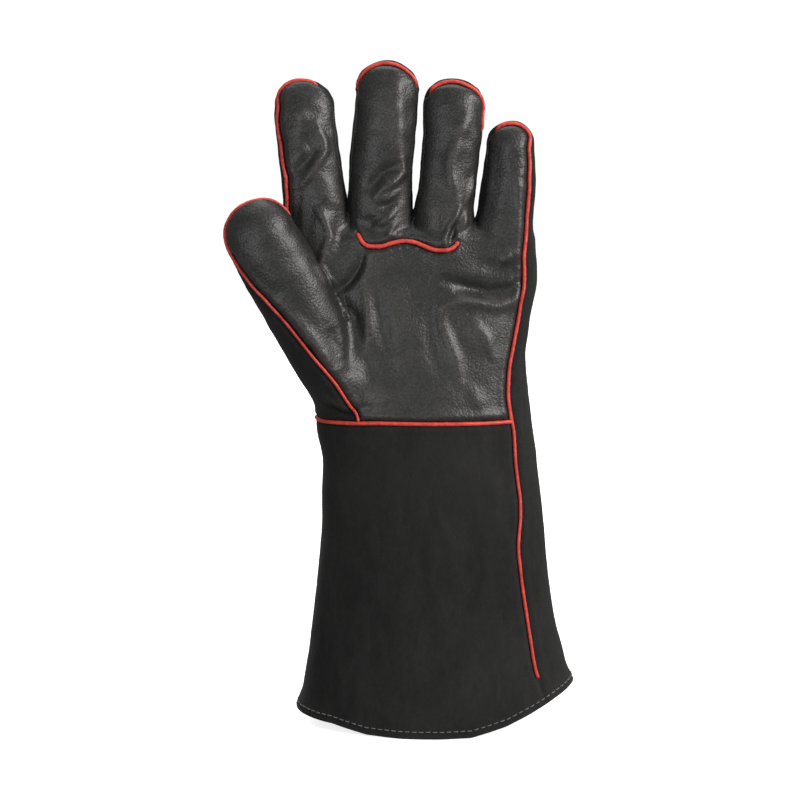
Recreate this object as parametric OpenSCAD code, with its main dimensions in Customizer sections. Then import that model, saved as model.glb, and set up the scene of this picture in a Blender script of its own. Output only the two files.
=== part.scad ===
// Heat resistant gauntlet glove for the left hand, standing on the hem of its
// cuff with the fingers up. X runs across the palm (thumb at -X), the palm
// faces -Y and the fingers point to +Z. The origin is under the middle of the
// glove, on the surface that the hem stands on. Every panel is a thin leather
// shell, with a soft lining inside it and a piped seam between two panels.

/* [Overall] */
// Height of the glove from the hem to the tip of the middle finger
glove_h = 356; // [335:1:380]
// Width of the glove across the mouth of the cuff
cuff_w = 151; // [140:1:165]
// Depth of the mouth of the cuff, palm side to back
cuff_d = 76; // [66:1:90]
// How far the hem is cut up at the little finger side
hem_rise = 20; // [0:1:24]
// How far the hem is cut up at the thumb side
hem_rise_thumb = 5; // [0:1:10]

/* [Materials] */
// Thickness of the leather
leather_t = 1.6; // [1.2:0.1:2]
// Thickness of the lining
lining_t = 1.4; // [1:0.1:2]
// Air gap between the leather and the lining
lining_gap = 0.3; // [0.25:0.05:0.5]
// Diameter of the piping in the seams
piping_d = 2.2; // [1.8:0.1:2.6]
// Width of the turned hem inside the cuff
hem_w = 12; // [9:1:16]
// Length of one stitch in the hem
stitch_l = 3.2; // [2.5:0.1:4]

/* [Bending] */
// How far the wrist bends towards the palm, degrees
wrist_in = 25; // [10:1:28]
// How far the wrist bends towards the back, degrees
wrist_out = 15; // [5:1:18]
// How far a finger bends at its base, degrees
base_bend = 50; // [20:1:55]
// How far a finger bends at its middle, degrees
mid_bend = 60; // [20:1:65]
// How far the thumb bends at its base, degrees
thumb_base_bend = 30; // [10:1:35]
// How far the thumb bends at its middle, degrees
thumb_mid_bend = 50; // [20:1:55]

/* [Hidden] */

GRAIN = [0.27, 0.27, 0.27];
SUEDE = [0.16, 0.16, 0.16];
LINING = [0.42, 0.41, 0.4];
PIPING = [0.64, 0.2, 0.17];
THREAD = [0.7, 0.7, 0.69];

x0 = -2;                    // brings the middle of the outline to X = 0
kz = glove_h / 356;         // heights follow the glove's height
kx = cuff_w / 151;          // cuff widths follow the mouth of the cuff
kd = cuff_d / 76;           // cuff depths follow the mouth of the cuff
pr = piping_d / 2;
clear = 0.15;               // gap between the piping and a panel's edge
cut = pr + clear;
hinge_gap = 0.35;           // gap at each side of a bending line
NF = 14;                    // points round a finger
NH = 24;                    // points round the hand and the cuff
NL = 12;                    // points round the lining of a finger
wrist_z = 167 * kz;
wrist_y = -2;
thumb_lean = 27.3;
thumb_at = [-46.5 + x0, 0, 219.2 * kz];

// A station is [z, centre x, centre y, half width, half depth, squareness].
function sgnpow(v, p) = sign(v) * pow(abs(v), p);
function ring(s, n, d) = [for (i = [0 : n - 1]) let (f = 360 * i / n)
  [s[1] + (s[3] - d) * sgnpow(cos(f), 2 / s[5]),
   s[2] + (s[4] - d) * sgnpow(sin(f), 2 / s[5]), s[0]]];
function frustum_faces(n) = concat(
  [[for (i = [0 : n - 1]) i]], [[for (i = [0 : n - 1]) 2 * n - 1 - i]],
  [for (i = [0 : n - 1]) [i, n + i, n + (i + 1) % n, (i + 1) % n]]);
function mix(a, b, t) = a + (b - a) * t;

// A solid through the stations, pulled in by d all round.
module loft(st, n, d) {
  for (i = [0 : len(st) - 2])
    hull() polyhedron(concat(ring(st[i], n, d), ring(st[i + 1], n, d)),
                      frustum_faces(n));
}
// A round bar through the points, with its sides kept square to up.
function unit(v) = v / norm(v);
function dirs(p) = [for (i = [0 : len(p) - 1])
  unit(p[min(i + 1, len(p) - 1)] - p[max(i - 1, 0)])];
module bar(p, r, up, m = 6) {
  t = dirs(p);
  polyhedron(
    [for (i = [0 : len(p) - 1]) let (a = unit(cross(t[i], up)), b = cross(a, t[i]))
      for (j = [0 : m - 1]) p[i] + r * (cos(360 * j / m) * a + sin(360 * j / m) * b)],
    concat([[for (j = [m - 1 : -1 : 0]) j]],
      [[for (j = [0 : m - 1]) (len(p) - 1) * m + j]],
      [for (i = [0 : len(p) - 2], j = [0 : m - 1])
        [i * m + (j + 1) % m, (i + 1) * m + (j + 1) % m, (i + 1) * m + j, i * m + j]]));
}
// A closed ring of the same bar.
module hoop(p, r, up, m = 6) {
  n = len(p);
  polyhedron(
    [for (i = [0 : n - 1]) let (t = unit(p[(i + 1) % n] - p[(i + n - 1) % n]),
      a = unit(cross(t, up)), b = cross(a, t))
      for (j = [0 : m - 1]) p[i] + r * (cos(360 * j / m) * a + sin(360 * j / m) * b)],
    [for (i = [0 : n - 1], j = [0 : m - 1])
      [i * m + (j + 1) % m, ((i + 1) % n) * m + (j + 1) % m, ((i + 1) % n) * m + j,
       i * m + j]]);
}
// The space above or below a bending line at [y, z]. front and back are the
// angles that the space leaves open at the palm side and at the back.
module above(y, z, front, back, gap = hinge_gap) {
  translate([-150, 0, 0]) rotate([90, 0, 90]) linear_extrude(300)
    polygon([[y, z + gap], [y + 90, z + gap + 90 * tan(back)],
             [y + 90, z + 260], [y - 90, z + 260],
             [y - 90, z + gap + 90 * tan(front)]]);
}
module below(y, z, front, back, gap = hinge_gap) {
  translate([-150, 0, 0]) rotate([90, 0, 90]) linear_extrude(300)
    polygon([[y, z - gap], [y - 90, z - gap - 90 * tan(front)],
             [y - 90, z - 260], [y + 90, z - 260],
             [y + 90, z - gap - 90 * tan(back)]]);
}
module front_of(y) translate([-200, y - 200, -50]) cube([400, 200, 500]);
module back_of(y) translate([-200, y, -50]) cube([400, 200, 500]);

// ---------------------------------------------------------------- fingers
// One row for each finger: base bend z, middle bend z, z where the round tip
// starts, height of the tip, then the stations below the tip.
INDEX = [291, 318, 331, 16, [[256, -42, 0, 19, 13.8, 2.2], [277, -44.2, 0, 17.3, 13.6, 2.2],
  [291, -45.5, 0, 16.4, 13.2, 2.2], [304, -47, 0, 16.2, 13, 2.2],
  [318, -48.6, 0, 15.8, 12.7, 2.2], [331, -49.6, 0, 15.3, 12.2, 2.2]]];
MIDDLE = [292, 323, 340, 16, [[256, -10, 0, 19, 14, 2.2], [277, -10.3, 0, 17, 13.8, 2.2],
  [292, -10.3, 0, 16.6, 13.5, 2.2], [306, -9.8, 0, 16.7, 13.4, 2.2],
  [323, -8, 0, 16.6, 13.1, 2.2], [340, -6.7, 0, 16.5, 12.6, 2.2]]];
RING = [291, 319, 332, 15, [[256, 22.5, 0, 18, 13.8, 2.2], [277, 23, 0, 15.9, 13.6, 2.2],
  [291, 24.7, 0, 15, 13.2, 2.2], [304, 26, 0, 15, 13, 2.2],
  [319, 27.3, 0, 14.9, 12.8, 2.2], [332, 27.4, 0, 14.6, 12.2, 2.2]]];
LITTLE = [281, 303, 312, 13, [[248, 53.5, 0, 18, 12.8, 2.2], [268, 54.5, 0, 16, 12.6, 2.2],
  [281, 55.8, 0, 14.6, 12.2, 2.2], [292, 56.8, 0, 14.1, 12, 2.2],
  [303, 57.6, 0, 13, 11.6, 2.2], [312, 57.6, 0, 12.5, 11.2, 2.2]]];
FINGERS = [INDEX, MIDDLE, RING, LITTLE];

TIP = [30, 57, 80];
function stretch(s) = [s[0] * kz, s[1] + x0, s[2], s[3], s[4], s[5]];
function finger_stations(f, d) = let (s = [for (r = f[4]) stretch(r)],
  e = s[len(s) - 1], h = f[3] * kz) concat(s,
  [for (a = TIP) [e[0] + (h - d) * sin(a), e[1], e[2],
    d + (e[3] - d) * cos(a), d + (e[4] - d) * cos(a), 2.1]]);
function fold_y(f) = -f[4][2][4] * 0.5;     // depth of a finger's bending lines
function seam_y(f) = -f[4][2][4] * 0.38;    // depth of a finger's side seams
// The seam runs up one side of the finger, over the tip and down the other.
function side_at(s, y, w) = s[1] + w * s[3] * pow(1 - pow(abs(y - s[2]) / s[4], 2.2), 1 / 2.2);
function finger_seam(f) = let (s = [for (r = f[4]) stretch(r)], n = len(s) - 1,
  e = s[n], y = seam_y(f), k = sqrt(1 - pow(y / e[4], 2)))
  concat([for (i = [0 : n]) [side_at(s[i], y, -1), y, s[i][0]]],
    [for (a = [155, 132, 110, 90, 70, 48, 25])
      [e[1] + e[3] * k * cos(a), y, e[0] + f[3] * kz * k * sin(a)]],
    [for (i = [n : -1 : 0]) [side_at(s[i], y, 1), y, s[i][0]]]);

module finger_zone(f, upper) {
  b = base_bend / 2; m = mid_bend / 2;
  if (upper) above(fold_y(f), f[1] * kz, m, 0);
  else intersection() {
    above(fold_y(f), f[0] * kz, b, 0);
    below(fold_y(f), f[1] * kz, m, 0);
  }
}
module finger_panel(f, upper, palm) color(palm ? GRAIN : SUEDE) intersection() {
  difference() {
    loft(finger_stations(f, 0), NF, 0);
    loft(finger_stations(f, leather_t), NF, leather_t);
    bar(finger_seam(f), cut, [0, 1, 0]);
  }
  finger_zone(f, upper);
  if (palm) front_of(seam_y(f)); else back_of(seam_y(f));
}
module finger_lining(f, upper) color(LINING) intersection() {
  difference() {
    loft(finger_stations(f, lin0), NL, lin0);
    loft(finger_stations(f, lin1), NL, lin1);
  }
  finger_zone(f, upper);
}
module finger_piping(f, upper) color(PIPING) intersection() {
  bar(finger_seam(f), pr, [0, 1, 0]);
  finger_zone(f, upper);
}

// ------------------------------------------------------------------ thumb
// The thumb is drawn in its own frame, with its length along Z, and is then
// leaned towards -X and moved to its root.
THUMB = [[-46, 0, -3, 17, 20, 2], [-25, 0, -8, 19, 20, 2], [-8, 0, -13, 19.5, 18, 2],
  [8, 0, -17, 19.4, 16, 2], [24, 0, -20.5, 19.3, 15, 2], [38, 0, -23, 19.3, 14.3, 2],
  [54, 0, -25, 18.6, 13.6, 2]];
thumb_base_z = 8;
thumb_mid_z = 38;
thumb_base_y = -24;
thumb_mid_y = -29;
thumb_tip_h = 19;
function thumb_stations(d) = let (e = THUMB[6]) concat(THUMB,
  [for (a = TIP) [e[0] + (thumb_tip_h - d) * sin(a), e[1], e[2],
    d + (e[3] - d) * cos(a), d + (e[4] - d) * cos(a), 2]]);
module thumb_place() translate(thumb_at) rotate([0, -thumb_lean, 0]) children();
// The outer seam starts in the middle of the palm side at the wrist and works
// its way out to the side of the thumb, then over the tip and down the inside.
function on_front(s, x) = [x, s[2] - s[4] * sqrt(1 - pow((x - s[1]) / s[3], 2)), s[0]];
function thumb_outer() = [on_front(THUMB[0], 1.5), on_front(THUMB[1], -3.5),
  on_front(THUMB[2], -6), on_front(THUMB[3], -9), on_front(THUMB[4], -12.5),
  on_front(THUMB[5], -16), on_front(THUMB[6], -17.8)];
function thumb_over() = let (e = THUMB[6]) [for (a = [155, 130, 105, 80, 55, 30])
  [e[3] * 0.955 * cos(a), mix(-0.29, 0.1, (155 - a) / 125) * e[4] + e[2],
   e[0] + thumb_tip_h * 0.955 * sin(a)]];
function thumb_inner() = [for (i = [6 : -1 : 3]) let (s = THUMB[i])
  [s[3] * 0.99, s[2] + s[4] * 0.14, s[0]]];
function thumb_seam() = concat(thumb_outer(), thumb_over(), thumb_inner());
// The palm side of the thumb: the space in front of the surface through both seams.
module thumb_palm_side() {
  o = thumb_outer(); v = thumb_inner();
  for (i = [2 : 5]) hull() for (j = [i, i + 1]) {
    a = o[j]; b = j < 3 ? [19.3, -10.5, a[2]] : v[6 - j];
    side(a, b);
  }
  hull() { side(o[6], v[0]); side([o[6][0], o[6][1], 90], [v[0][0], v[0][1] , 90]); }
}
module side(a, b) translate([0, 0, a[2] - 0.01]) linear_extrude(0.02)
  polygon([[a[0], a[1]], [b[0], b[1]], [b[0] + 30, b[1]], [b[0] + 30, -90],
           [a[0] - 22, -90], [a[0] - 12, a[1] - 6]]);
module thumb_zone(upper) {
  if (upper) above(thumb_mid_y, thumb_mid_z, thumb_mid_bend / 2, 0);
  else intersection() {
    above(thumb_base_y, thumb_base_z, thumb_base_bend / 2, 0);
    below(thumb_mid_y, thumb_mid_z, thumb_mid_bend / 2, 0);
  }
}
module thumb_shell(d0, d1) difference() {
  loft(thumb_stations(d0), NF, d0);
  loft(thumb_stations(d1), NF, d1);
}
module thumb_panel(upper, palm) color(palm ? GRAIN : SUEDE) difference() {
  thumb_place() intersection() {
    difference() {
      thumb_shell(0, leather_t);
      bar(thumb_seam(), cut, [0, 1, 0]);
      if (!palm) thumb_palm_side();
    }
    thumb_zone(upper);
    if (palm) thumb_palm_side();
  }
  hand_keepout();
}
lin0 = leather_t / 2 + lining_gap + pr;
lin1 = lin0 + lining_t;
module thumb_lining(upper) color(LINING) difference() {
  thumb_place() intersection() {
    thumb_shell(lin0, lin1);
    thumb_zone(upper);
  }
  hand_keepout();
}
module thumb_piping(upper) color(PIPING) difference() {
  thumb_place() intersection() {
    bar(thumb_seam(), pr, [0, 1, 0]);
    thumb_zone(upper);
  }
  hand_keepout();
}
module hand_keepout() {
  loft(hand_stations(-0.6), NH, -0.6);
  loft(finger_stations(INDEX, -0.6), NF, -0.6);
}

// ------------------------------------------------------------------- hand
HAND = [[160, 13.3, 0, 58, 27, 2.1], [167, 12.9, 0, 57.9, 26.6, 2.1], [180, 11.7, 0, 57.8, 25, 2.2],
  [200, 9.3, 0, 58.3, 21.5, 2.3], [220, 8, 0, 61, 18.5, 2.4],
  [240, 7, 0, 64.4, 16, 2.5], [258, 5, 0, 65.6, 14.4, 2.6], [267, 4.6, 0, 64.6, 13.4, 2.6]];
// The top of the palm is pulled in like the sides, so the leather closes it.
function hand_stations(d) = [for (i = [0 : len(HAND) - 1]) let (s = stretch(HAND[i]))
  i < len(HAND) - 1 ? s : [s[0] - d, s[1], s[2], s[3], s[4], s[5]]];
module hand_body(d, n = NF, m = NH) {
  loft(hand_stations(d), m, d);
  for (f = FINGERS) loft(finger_stations(f, d), n, d);
  thumb_place() loft([for (i = [0 : 4]) THUMB[i]], n, d);
}
module hand_core(d, n = NF, m = NH) {
  // a hollow runs a little past every edge, so the edges are cut clean
  hand_body(d, n, m);
  loft([stretch([150, 13.8, 0, 58, 27, 2.1]), stretch(HAND[0])], m, d);
}
module hand_zone() {
  difference() {
    above(wrist_y, wrist_z, wrist_in, wrist_out);
    for (f = [0 : 3]) intersection() {
      above(fold_y(FINGERS[f]), FINGERS[f][0] * kz, -base_bend / 2, 0, -hinge_gap);
      translate([SLOT[f] + x0, -100, 0]) cube([SLOT[f + 1] - SLOT[f] + 0.02, 200, 500]);
    }
    thumb_place() intersection() {
      above(thumb_base_y, thumb_base_z, -thumb_base_bend / 2, 0, -hinge_gap);
      difference() {
        translate([-40, -90, -40]) cube([66, 92, 160]);
        rotate([0, thumb_lean, 0]) translate(-thumb_at) {
          loft(hand_stations(-0.01), NH, -0.01);
          loft(finger_stations(INDEX, -0.01), NF, -0.01);
        }
      }
    }
  }
}
SLOT = [-90, -28, 8.2, 40.45, 100];        // walls between the fingers
// Corners of the palm panel: seam on the little finger side and at the thumb.
EDGE_R = [[160, 59.5, -16], [180, 56.9, -14.5], [200, 58, -12.2], [220, 61, -9.9],
  [240, 64.6, -8], [262, 65.4, -5.6], [275, 66, -4.8], [300, 66, -4.8]];
function edge(z, l) = let (i = max([for (j = [0 : len(l) - 2]) l[j][0] <= z ? j : 0]),
  t = (z - l[i][0]) / (l[i + 1][0] - l[i][0])) mix(l[i], l[i + 1], t);
EDGE_L = [[160, -21, -3], [180, -25.5, -3], [200, -38.5, -3], [219, -52, -3],
  [226, -57, -4], [240, -58.5, -5.2], [262, -61, -5], [300, -61, -5]];
module palm_side() {
  zs = [160, 180, 200, 219, 226, 240, 262, 300];
  for (i = [0 : len(zs) - 2]) hull() for (z = [zs[i], zs[i + 1]]) {
    r = edge(z, EDGE_R); l = edge(z, EDGE_L);
    translate([x0, 0, z * kz - 0.01]) linear_extrude(0.02)
      polygon([[l[1], l[2]], [r[1], r[2]], [r[1] + 20, -90], [l[1], -90]]);
  }
}
function hand_side(z) = let (r = edge(z, EDGE_R)) [r[1] + x0, r[2], z * kz];
module hand_panel(palm) color(palm ? GRAIN : SUEDE) difference() {
  intersection() {
    difference() { hand_body(0); hand_core(leather_t); }
    hand_zone();
    if (palm) palm_side();
  }
  if (!palm) palm_side();
  hand_pipings(cut);
}
module hand_side_line(r) bar([for (z = [158, 180, 200, 220, 240, 262, 275, 300])
  let (e = edge(z, EDGE_R), s = side_point(z)) [s, e[2], z * kz]], r, [0, 1, 0]);
// where the outer surface of the hand or the little finger stands on the seam
function side_point(z) = let (y = edge(z, EDGE_R)[2],
  h = z < 262 ? edge(z, HAND) : edge(z, LITTLE[4]))
  h[1] + x0 + h[3] * pow(1 - pow(abs(y) / h[4], h[5]), 1 / h[5]);
module index_side_line(r) bar([for (z = [242, 262, 275, 300])
  let (h = z < 256 ? edge(z, HAND) : edge(z, INDEX[4]), y = -5)
  [h[1] + x0 - h[3] * pow(1 - pow(abs(y) / h[4], h[5]), 1 / h[5]), y, z * kz]], r, [0, 1, 0]);
module thumb_root_line(r) thumb_place()
  bar([for (i = [0 : 4]) thumb_outer()[i]], r, [0, 1, 0]);
// The curved seam across the bases of the middle and the ring finger.
module finger_base_line(r) bar([for (i = [0 : 12]) let (x = -21 + 50 * i / 12,
  z = 261.2 + 2.6 * cos((x - 3) * 10) + (i == 0 ? 4 : 0) - (i > 8 ? 1.2 : 0))
  [x + x0, palm_front(x, z), z * kz]], r, [0, 0, 1]);
function palm_front(x, z) = let (h = edge(min(z, 266.9), HAND),
  m = edge(z, MIDDLE[4]), g = edge(z, RING[4]))
  -max(front_depth(h, x), front_depth(m, x), front_depth(g, x));
function front_depth(s, x) = abs(x - s[1]) >= s[3] ? 0
  : s[4] * pow(1 - pow(abs(x - s[1]) / s[3], s[5]), 1 / s[5]);
module hand_pipings(r) {
  hand_side_line(r);
  index_side_line(r);
  thumb_root_line(r);
  finger_base_line(r);
}
module hand_lining_shell() intersection() {
  difference() { hand_body(lin0, NF, 20); hand_core(lin1, NF, 20); }
  hand_zone();
}

// ------------------------------------------------------------------- cuff
CUFF = [[0, 20.3, 0, 75.5, 38, 2], [12, 20.3, 0, 74.2, 37.4, 2], [36, 19.8, 0, 69.9, 35.8, 2],
  [54, 18.4, 0, 66.6, 34, 2], [78, 18.1, 0, 63.3, 31.6, 2], [104, 18, 0, 60.3, 29.6, 2],
  [130, 16.5, 0, 58.6, 28, 2], [146, 15.9, 0, 57.6, 27.2, 2], [160, 13.6, 0, 58, 26.8, 2.1],
  [172, 12.8, 0, 57.9, 26.4, 2.1]];
function cuff_station(s) = [s[0] * kz, (s[1] + x0) * 1, s[2],
  s[3] * mix(kx, 1, min(1, s[0] / 160)), s[4] * mix(kd, 1, min(1, s[0] / 160)), s[5]];
CUFF_S = [for (s = CUFF) cuff_station(s)];
CUFF_LONG = concat([[-10, CUFF_S[0][1], 0, CUFF_S[0][3], CUFF_S[0][4], 2]], CUFF_S);
function cuff_at(z) = edge(max(0, z), CUFF_S);
// The hem lies flat at the middle and is cut up towards both sides.
function hem_z(f) = let (c = cos(f), k = max(0, (abs(c) - 0.27) / 0.73))
  (c > 0 ? hem_rise : hem_rise_thumb) * pow(k, 1.2);
module over_hem(lift) {
  // everything above the hem line, as sectors round the cuff
  n = 24;
  c = CUFF_S[0];
  for (i = [0 : n - 1]) let (a = 360 * (i + 0.5) / n, b = 360 * (i + 1.5) / n,
    p = hem_z(a) + lift, q = hem_z(b) + lift) hull() {
    for (t = [[a, p], [b, q]]) for (r = [0.4, 1.25]) for (h = [0, 1])
      translate([c[1] + r * c[3] * cos(t[0]), r * c[4] * sin(t[0]), h ? 260 : t[1]])
        cube(0.001);
  }
}
module cuff_zone() {
  below(wrist_y, wrist_z, 0, 0);
}
CUFF_R = [[0, -41], [36, -40], [78, -37.5], [104, -36], [130, -37], [160, -38]];
CUFF_L = [[0, 170], [160, 170]];
function lerp(z, l) = edge(min(z, l[len(l) - 1][0]), l)[1];
function cuff_point(z, f) = let (c = cuff_at(z))
  [c[1] + c[3] * cos(f), c[4] * sin(f), z];
CUFF_ZS = [-8, 0, 18, 36, 56, 78, 104, 130, 146, 160, 172];
module cuff_palm_side() {
  for (i = [0 : len(CUFF_ZS) - 2]) hull() for (z = [CUFF_ZS[i] * kz, CUFF_ZS[i + 1] * kz]) {
    r = cuff_point(z, lerp(max(0, z / kz), CUFF_R)); l = cuff_point(z, 170);
    translate([0, 0, z - 0.01]) linear_extrude(0.02)
      polygon([[l[0], l[1]], [r[0], r[1]], [r[0] + 40, -90], [l[0] - 40, -90], [l[0] - 40, l[1]]]);
  }
}
module cuff_panel(palm) color(SUEDE) difference() {
  intersection() {
    difference() { loft(CUFF_S, NH, 0); loft(CUFF_LONG, NH, leather_t); }
    cuff_zone();
    over_hem(0);
    if (palm) cuff_palm_side();
  }
  if (!palm) cuff_palm_side();
  cuff_side_line(cut);
  cuff_thumb_line(cut);
  wrist_line(cut);
}
module wrist_line(r) difference() {
  hoop([for (i = [0 : 39]) let (f = 9 * i, c = cuff_at(164.6 * kz))
    [c[1] + (c[3] + pr) * cos(f), (c[4] + pr) * sin(f), 164.6 * kz]], r, [0, 0, 1]);
  back_of(-16.5);             // it runs on the palm side only
}
module cuff_side_line(r) bar([for (z = [8, 18, 36, 56, 78, 104, 130, 146, 160, 172])
  cuff_point(z * kz, lerp(z, CUFF_R))], r, [0, 1, 0]);
module cuff_thumb_line(r) bar([for (z = [0, 18, 36, 56, 78, 104, 130, 146, 160, 172])
  cuff_point(z * kz, 170)], r, [0, 1, 0]);

// --------------------------------------------------------------- the nodes
module cuff_front_panel() cuff_panel(true);
module cuff_back_panel() cuff_panel(false);
module cuff_lining() color(LINING) intersection() {
  difference() { loft(CUFF_S, NH, lin0); loft(CUFF_LONG, NH, lin1); }
  cuff_zone();
  over_hem(hem_w + 0.4);
}
// The hem is the cuff's own leather, turned in and sewn down.
module cuff_hem_turn() color(SUEDE) difference() {
  intersection() {
    difference() {
      loft(CUFF_S, NH, leather_t + clear);
      loft(CUFF_LONG, NH, 2 * leather_t + clear);
    }
    over_hem(0);
  }
  over_hem(hem_w);
  cuff_side_line(cut);
  cuff_thumb_line(cut);
}
module cuff_hem_stitching() color(THREAD) {
  n = 58;
  for (i = [0 : n - 1]) let (f = 360 * (i + 0.5) / n, z = hem_z(f) + 4.5,
    c = cuff_at(z), p = [c[1] + (c[3] + 0.3) * cos(f), (c[4] + 0.3) * sin(f), z],
    t = atan2(c[4] * cos(f), -c[3] * sin(f)))
    if (abs(f - 319) > 3.5 && abs(f - 170) > 3.5)
      translate(p) rotate([0, 0, t]) rotate([0, -atan2(hem_z(f + 3) - hem_z(f - 3), norm([
          c[3] * (cos(f + 3) - cos(f - 3)), c[4] * (sin(f + 3) - sin(f - 3))])), 0])
        cube([stitch_l, 0.5, 0.8], center = true);
}
module cuff_side_piping() color(PIPING) intersection() {
  cuff_side_line(pr);
  cuff_zone();
  over_hem(0);
}
module cuff_thumb_side_piping() color(PIPING) intersection() {
  cuff_thumb_line(pr);
  cuff_zone();
  over_hem(0);
}
module wrist_piping() color(PIPING) difference() {
  wrist_line(pr);
  cuff_side_line(cut);
}
module palm_panel() hand_panel(true);
module hand_back_panel() hand_panel(false);
module hand_lining() color(LINING) hand_lining_shell();
module in_hand() intersection() { children(); hand_zone(); }
module hand_side_piping() color(PIPING) in_hand() hand_side_line(pr);
module index_side_piping() color(PIPING) in_hand() index_side_line(pr);
module finger_base_piping() color(PIPING) finger_base_line(pr);
module thumb_root_piping() color(PIPING) in_hand() thumb_root_line(pr);

module thumb_lower_front() thumb_panel(false, true);
module thumb_lower_back() thumb_panel(false, false);
module thumb_lower_lining() thumb_lining(false);
module thumb_lower_piping() thumb_piping(false);
module thumb_upper_front() thumb_panel(true, true);
module thumb_upper_back() thumb_panel(true, false);
module thumb_upper_lining() thumb_lining(true);
module thumb_upper_piping() thumb_piping(true);

module index_lower_front() finger_panel(INDEX, false, true);
module index_lower_back() finger_panel(INDEX, false, false);
module index_lower_lining() finger_lining(INDEX, false);
module index_lower_piping() finger_piping(INDEX, false);
module index_upper_front() finger_panel(INDEX, true, true);
module index_upper_back() finger_panel(INDEX, true, false);
module index_upper_lining() finger_lining(INDEX, true);
module index_upper_piping() finger_piping(INDEX, true);
module middle_lower_front() finger_panel(MIDDLE, false, true);
module middle_lower_back() finger_panel(MIDDLE, false, false);
module middle_lower_lining() finger_lining(MIDDLE, false);
module middle_lower_piping() finger_piping(MIDDLE, false);
module middle_upper_front() finger_panel(MIDDLE, true, true);
module middle_upper_back() finger_panel(MIDDLE, true, false);
module middle_upper_lining() finger_lining(MIDDLE, true);
module middle_upper_piping() finger_piping(MIDDLE, true);
module ring_lower_front() finger_panel(RING, false, true);
module ring_lower_back() finger_panel(RING, false, false);
module ring_lower_lining() finger_lining(RING, false);
module ring_lower_piping() finger_piping(RING, false);
module ring_upper_front() finger_panel(RING, true, true);
module ring_upper_back() finger_panel(RING, true, false);
module ring_upper_lining() finger_lining(RING, true);
module ring_upper_piping() finger_piping(RING, true);
module little_lower_front() finger_panel(LITTLE, false, true);
module little_lower_back() finger_panel(LITTLE, false, false);
module little_lower_lining() finger_lining(LITTLE, false);
module little_lower_piping() finger_piping(LITTLE, false);
module little_upper_front() finger_panel(LITTLE, true, true);
module little_upper_back() finger_panel(LITTLE, true, false);
module little_upper_lining() finger_lining(LITTLE, true);
module little_upper_piping() finger_piping(LITTLE, true);

cuff_front_panel();
cuff_back_panel();
cuff_lining();
cuff_hem_turn();
cuff_hem_stitching();
cuff_side_piping();
cuff_thumb_side_piping();
wrist_piping();
palm_panel();
hand_back_panel();
hand_lining();
hand_side_piping();
index_side_piping();
finger_base_piping();
thumb_root_piping();
thumb_lower_front();
thumb_lower_back();
thumb_lower_lining();
thumb_lower_piping();
thumb_upper_front();
thumb_upper_back();
thumb_upper_lining();
thumb_upper_piping();
index_lower_front();
index_lower_back();
index_lower_lining();
index_lower_piping();
index_upper_front();
index_upper_back();
index_upper_lining();
index_upper_piping();
middle_lower_front();
middle_lower_back();
middle_lower_lining();
middle_lower_piping();
middle_upper_front();
middle_upper_back();
middle_upper_lining();
middle_upper_piping();
ring_lower_front();
ring_lower_back();
ring_lower_lining();
ring_lower_piping();
ring_upper_front();
ring_upper_back();
ring_upper_lining();
ring_upper_piping();
little_lower_front();
little_lower_back();
little_lower_lining();
little_lower_piping();
little_upper_front();
little_upper_back();
little_upper_lining();
little_upper_piping();
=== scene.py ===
import math

import bpy
import numpy as np
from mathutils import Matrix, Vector


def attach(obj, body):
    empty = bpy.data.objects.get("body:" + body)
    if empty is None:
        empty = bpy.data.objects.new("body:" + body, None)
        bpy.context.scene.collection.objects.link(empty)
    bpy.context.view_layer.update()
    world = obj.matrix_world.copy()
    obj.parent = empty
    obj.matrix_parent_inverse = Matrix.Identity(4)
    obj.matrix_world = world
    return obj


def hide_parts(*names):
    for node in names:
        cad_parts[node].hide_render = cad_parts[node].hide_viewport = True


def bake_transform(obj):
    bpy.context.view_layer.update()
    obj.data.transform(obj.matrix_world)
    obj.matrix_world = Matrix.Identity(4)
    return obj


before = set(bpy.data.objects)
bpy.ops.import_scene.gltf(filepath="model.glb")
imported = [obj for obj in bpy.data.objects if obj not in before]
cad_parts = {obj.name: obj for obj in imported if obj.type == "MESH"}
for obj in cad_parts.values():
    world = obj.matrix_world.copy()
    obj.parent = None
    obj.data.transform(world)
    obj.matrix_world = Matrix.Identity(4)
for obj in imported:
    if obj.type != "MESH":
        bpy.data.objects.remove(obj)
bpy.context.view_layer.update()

MM = 0.001

# ------------------------------------------------------------------ the shape
# Everything is worked out in millimetres in the frame of the CAD model, and
# goes to metres when a mesh is made. A station is
# [z, centre x, centre y, half width, half depth, squareness].
BODY = [
    [-9, 18.3, 0, 76.4, 38.5, 2], [0, 18.3, 0, 75.5, 38, 2], [12, 18.3, 0, 74.0, 37.4, 2],
    [36, 17.9, 0, 69.9, 35.8, 2], [54, 16.6, 0, 66.6, 34, 2], [78, 16.1, 0, 63.3, 31.6, 2],
    [104, 16, 0, 60.3, 29.6, 2], [130, 14.6, 0, 58.4, 28, 2], [146, 13.9, 0, 57.3, 27.2, 2],
    [160, 11.7, 0, 57.9, 26.8, 2.1], [167, 10.9, 0, 57.7, 26.4, 2.1],
    [180, 9.7, 0, 57.6, 24.8, 2.2], [200, 7.3, 0, 58.3, 21.5, 2.3],
    [220, 6, 0, 61, 18.5, 2.4], [240, 5, 0, 64.4, 16, 2.5], [258, 3, 0, 65.6, 14.4, 2.6],
    [263, 2.8, 0, 65.2, 13.8, 2.6],
]
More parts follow.
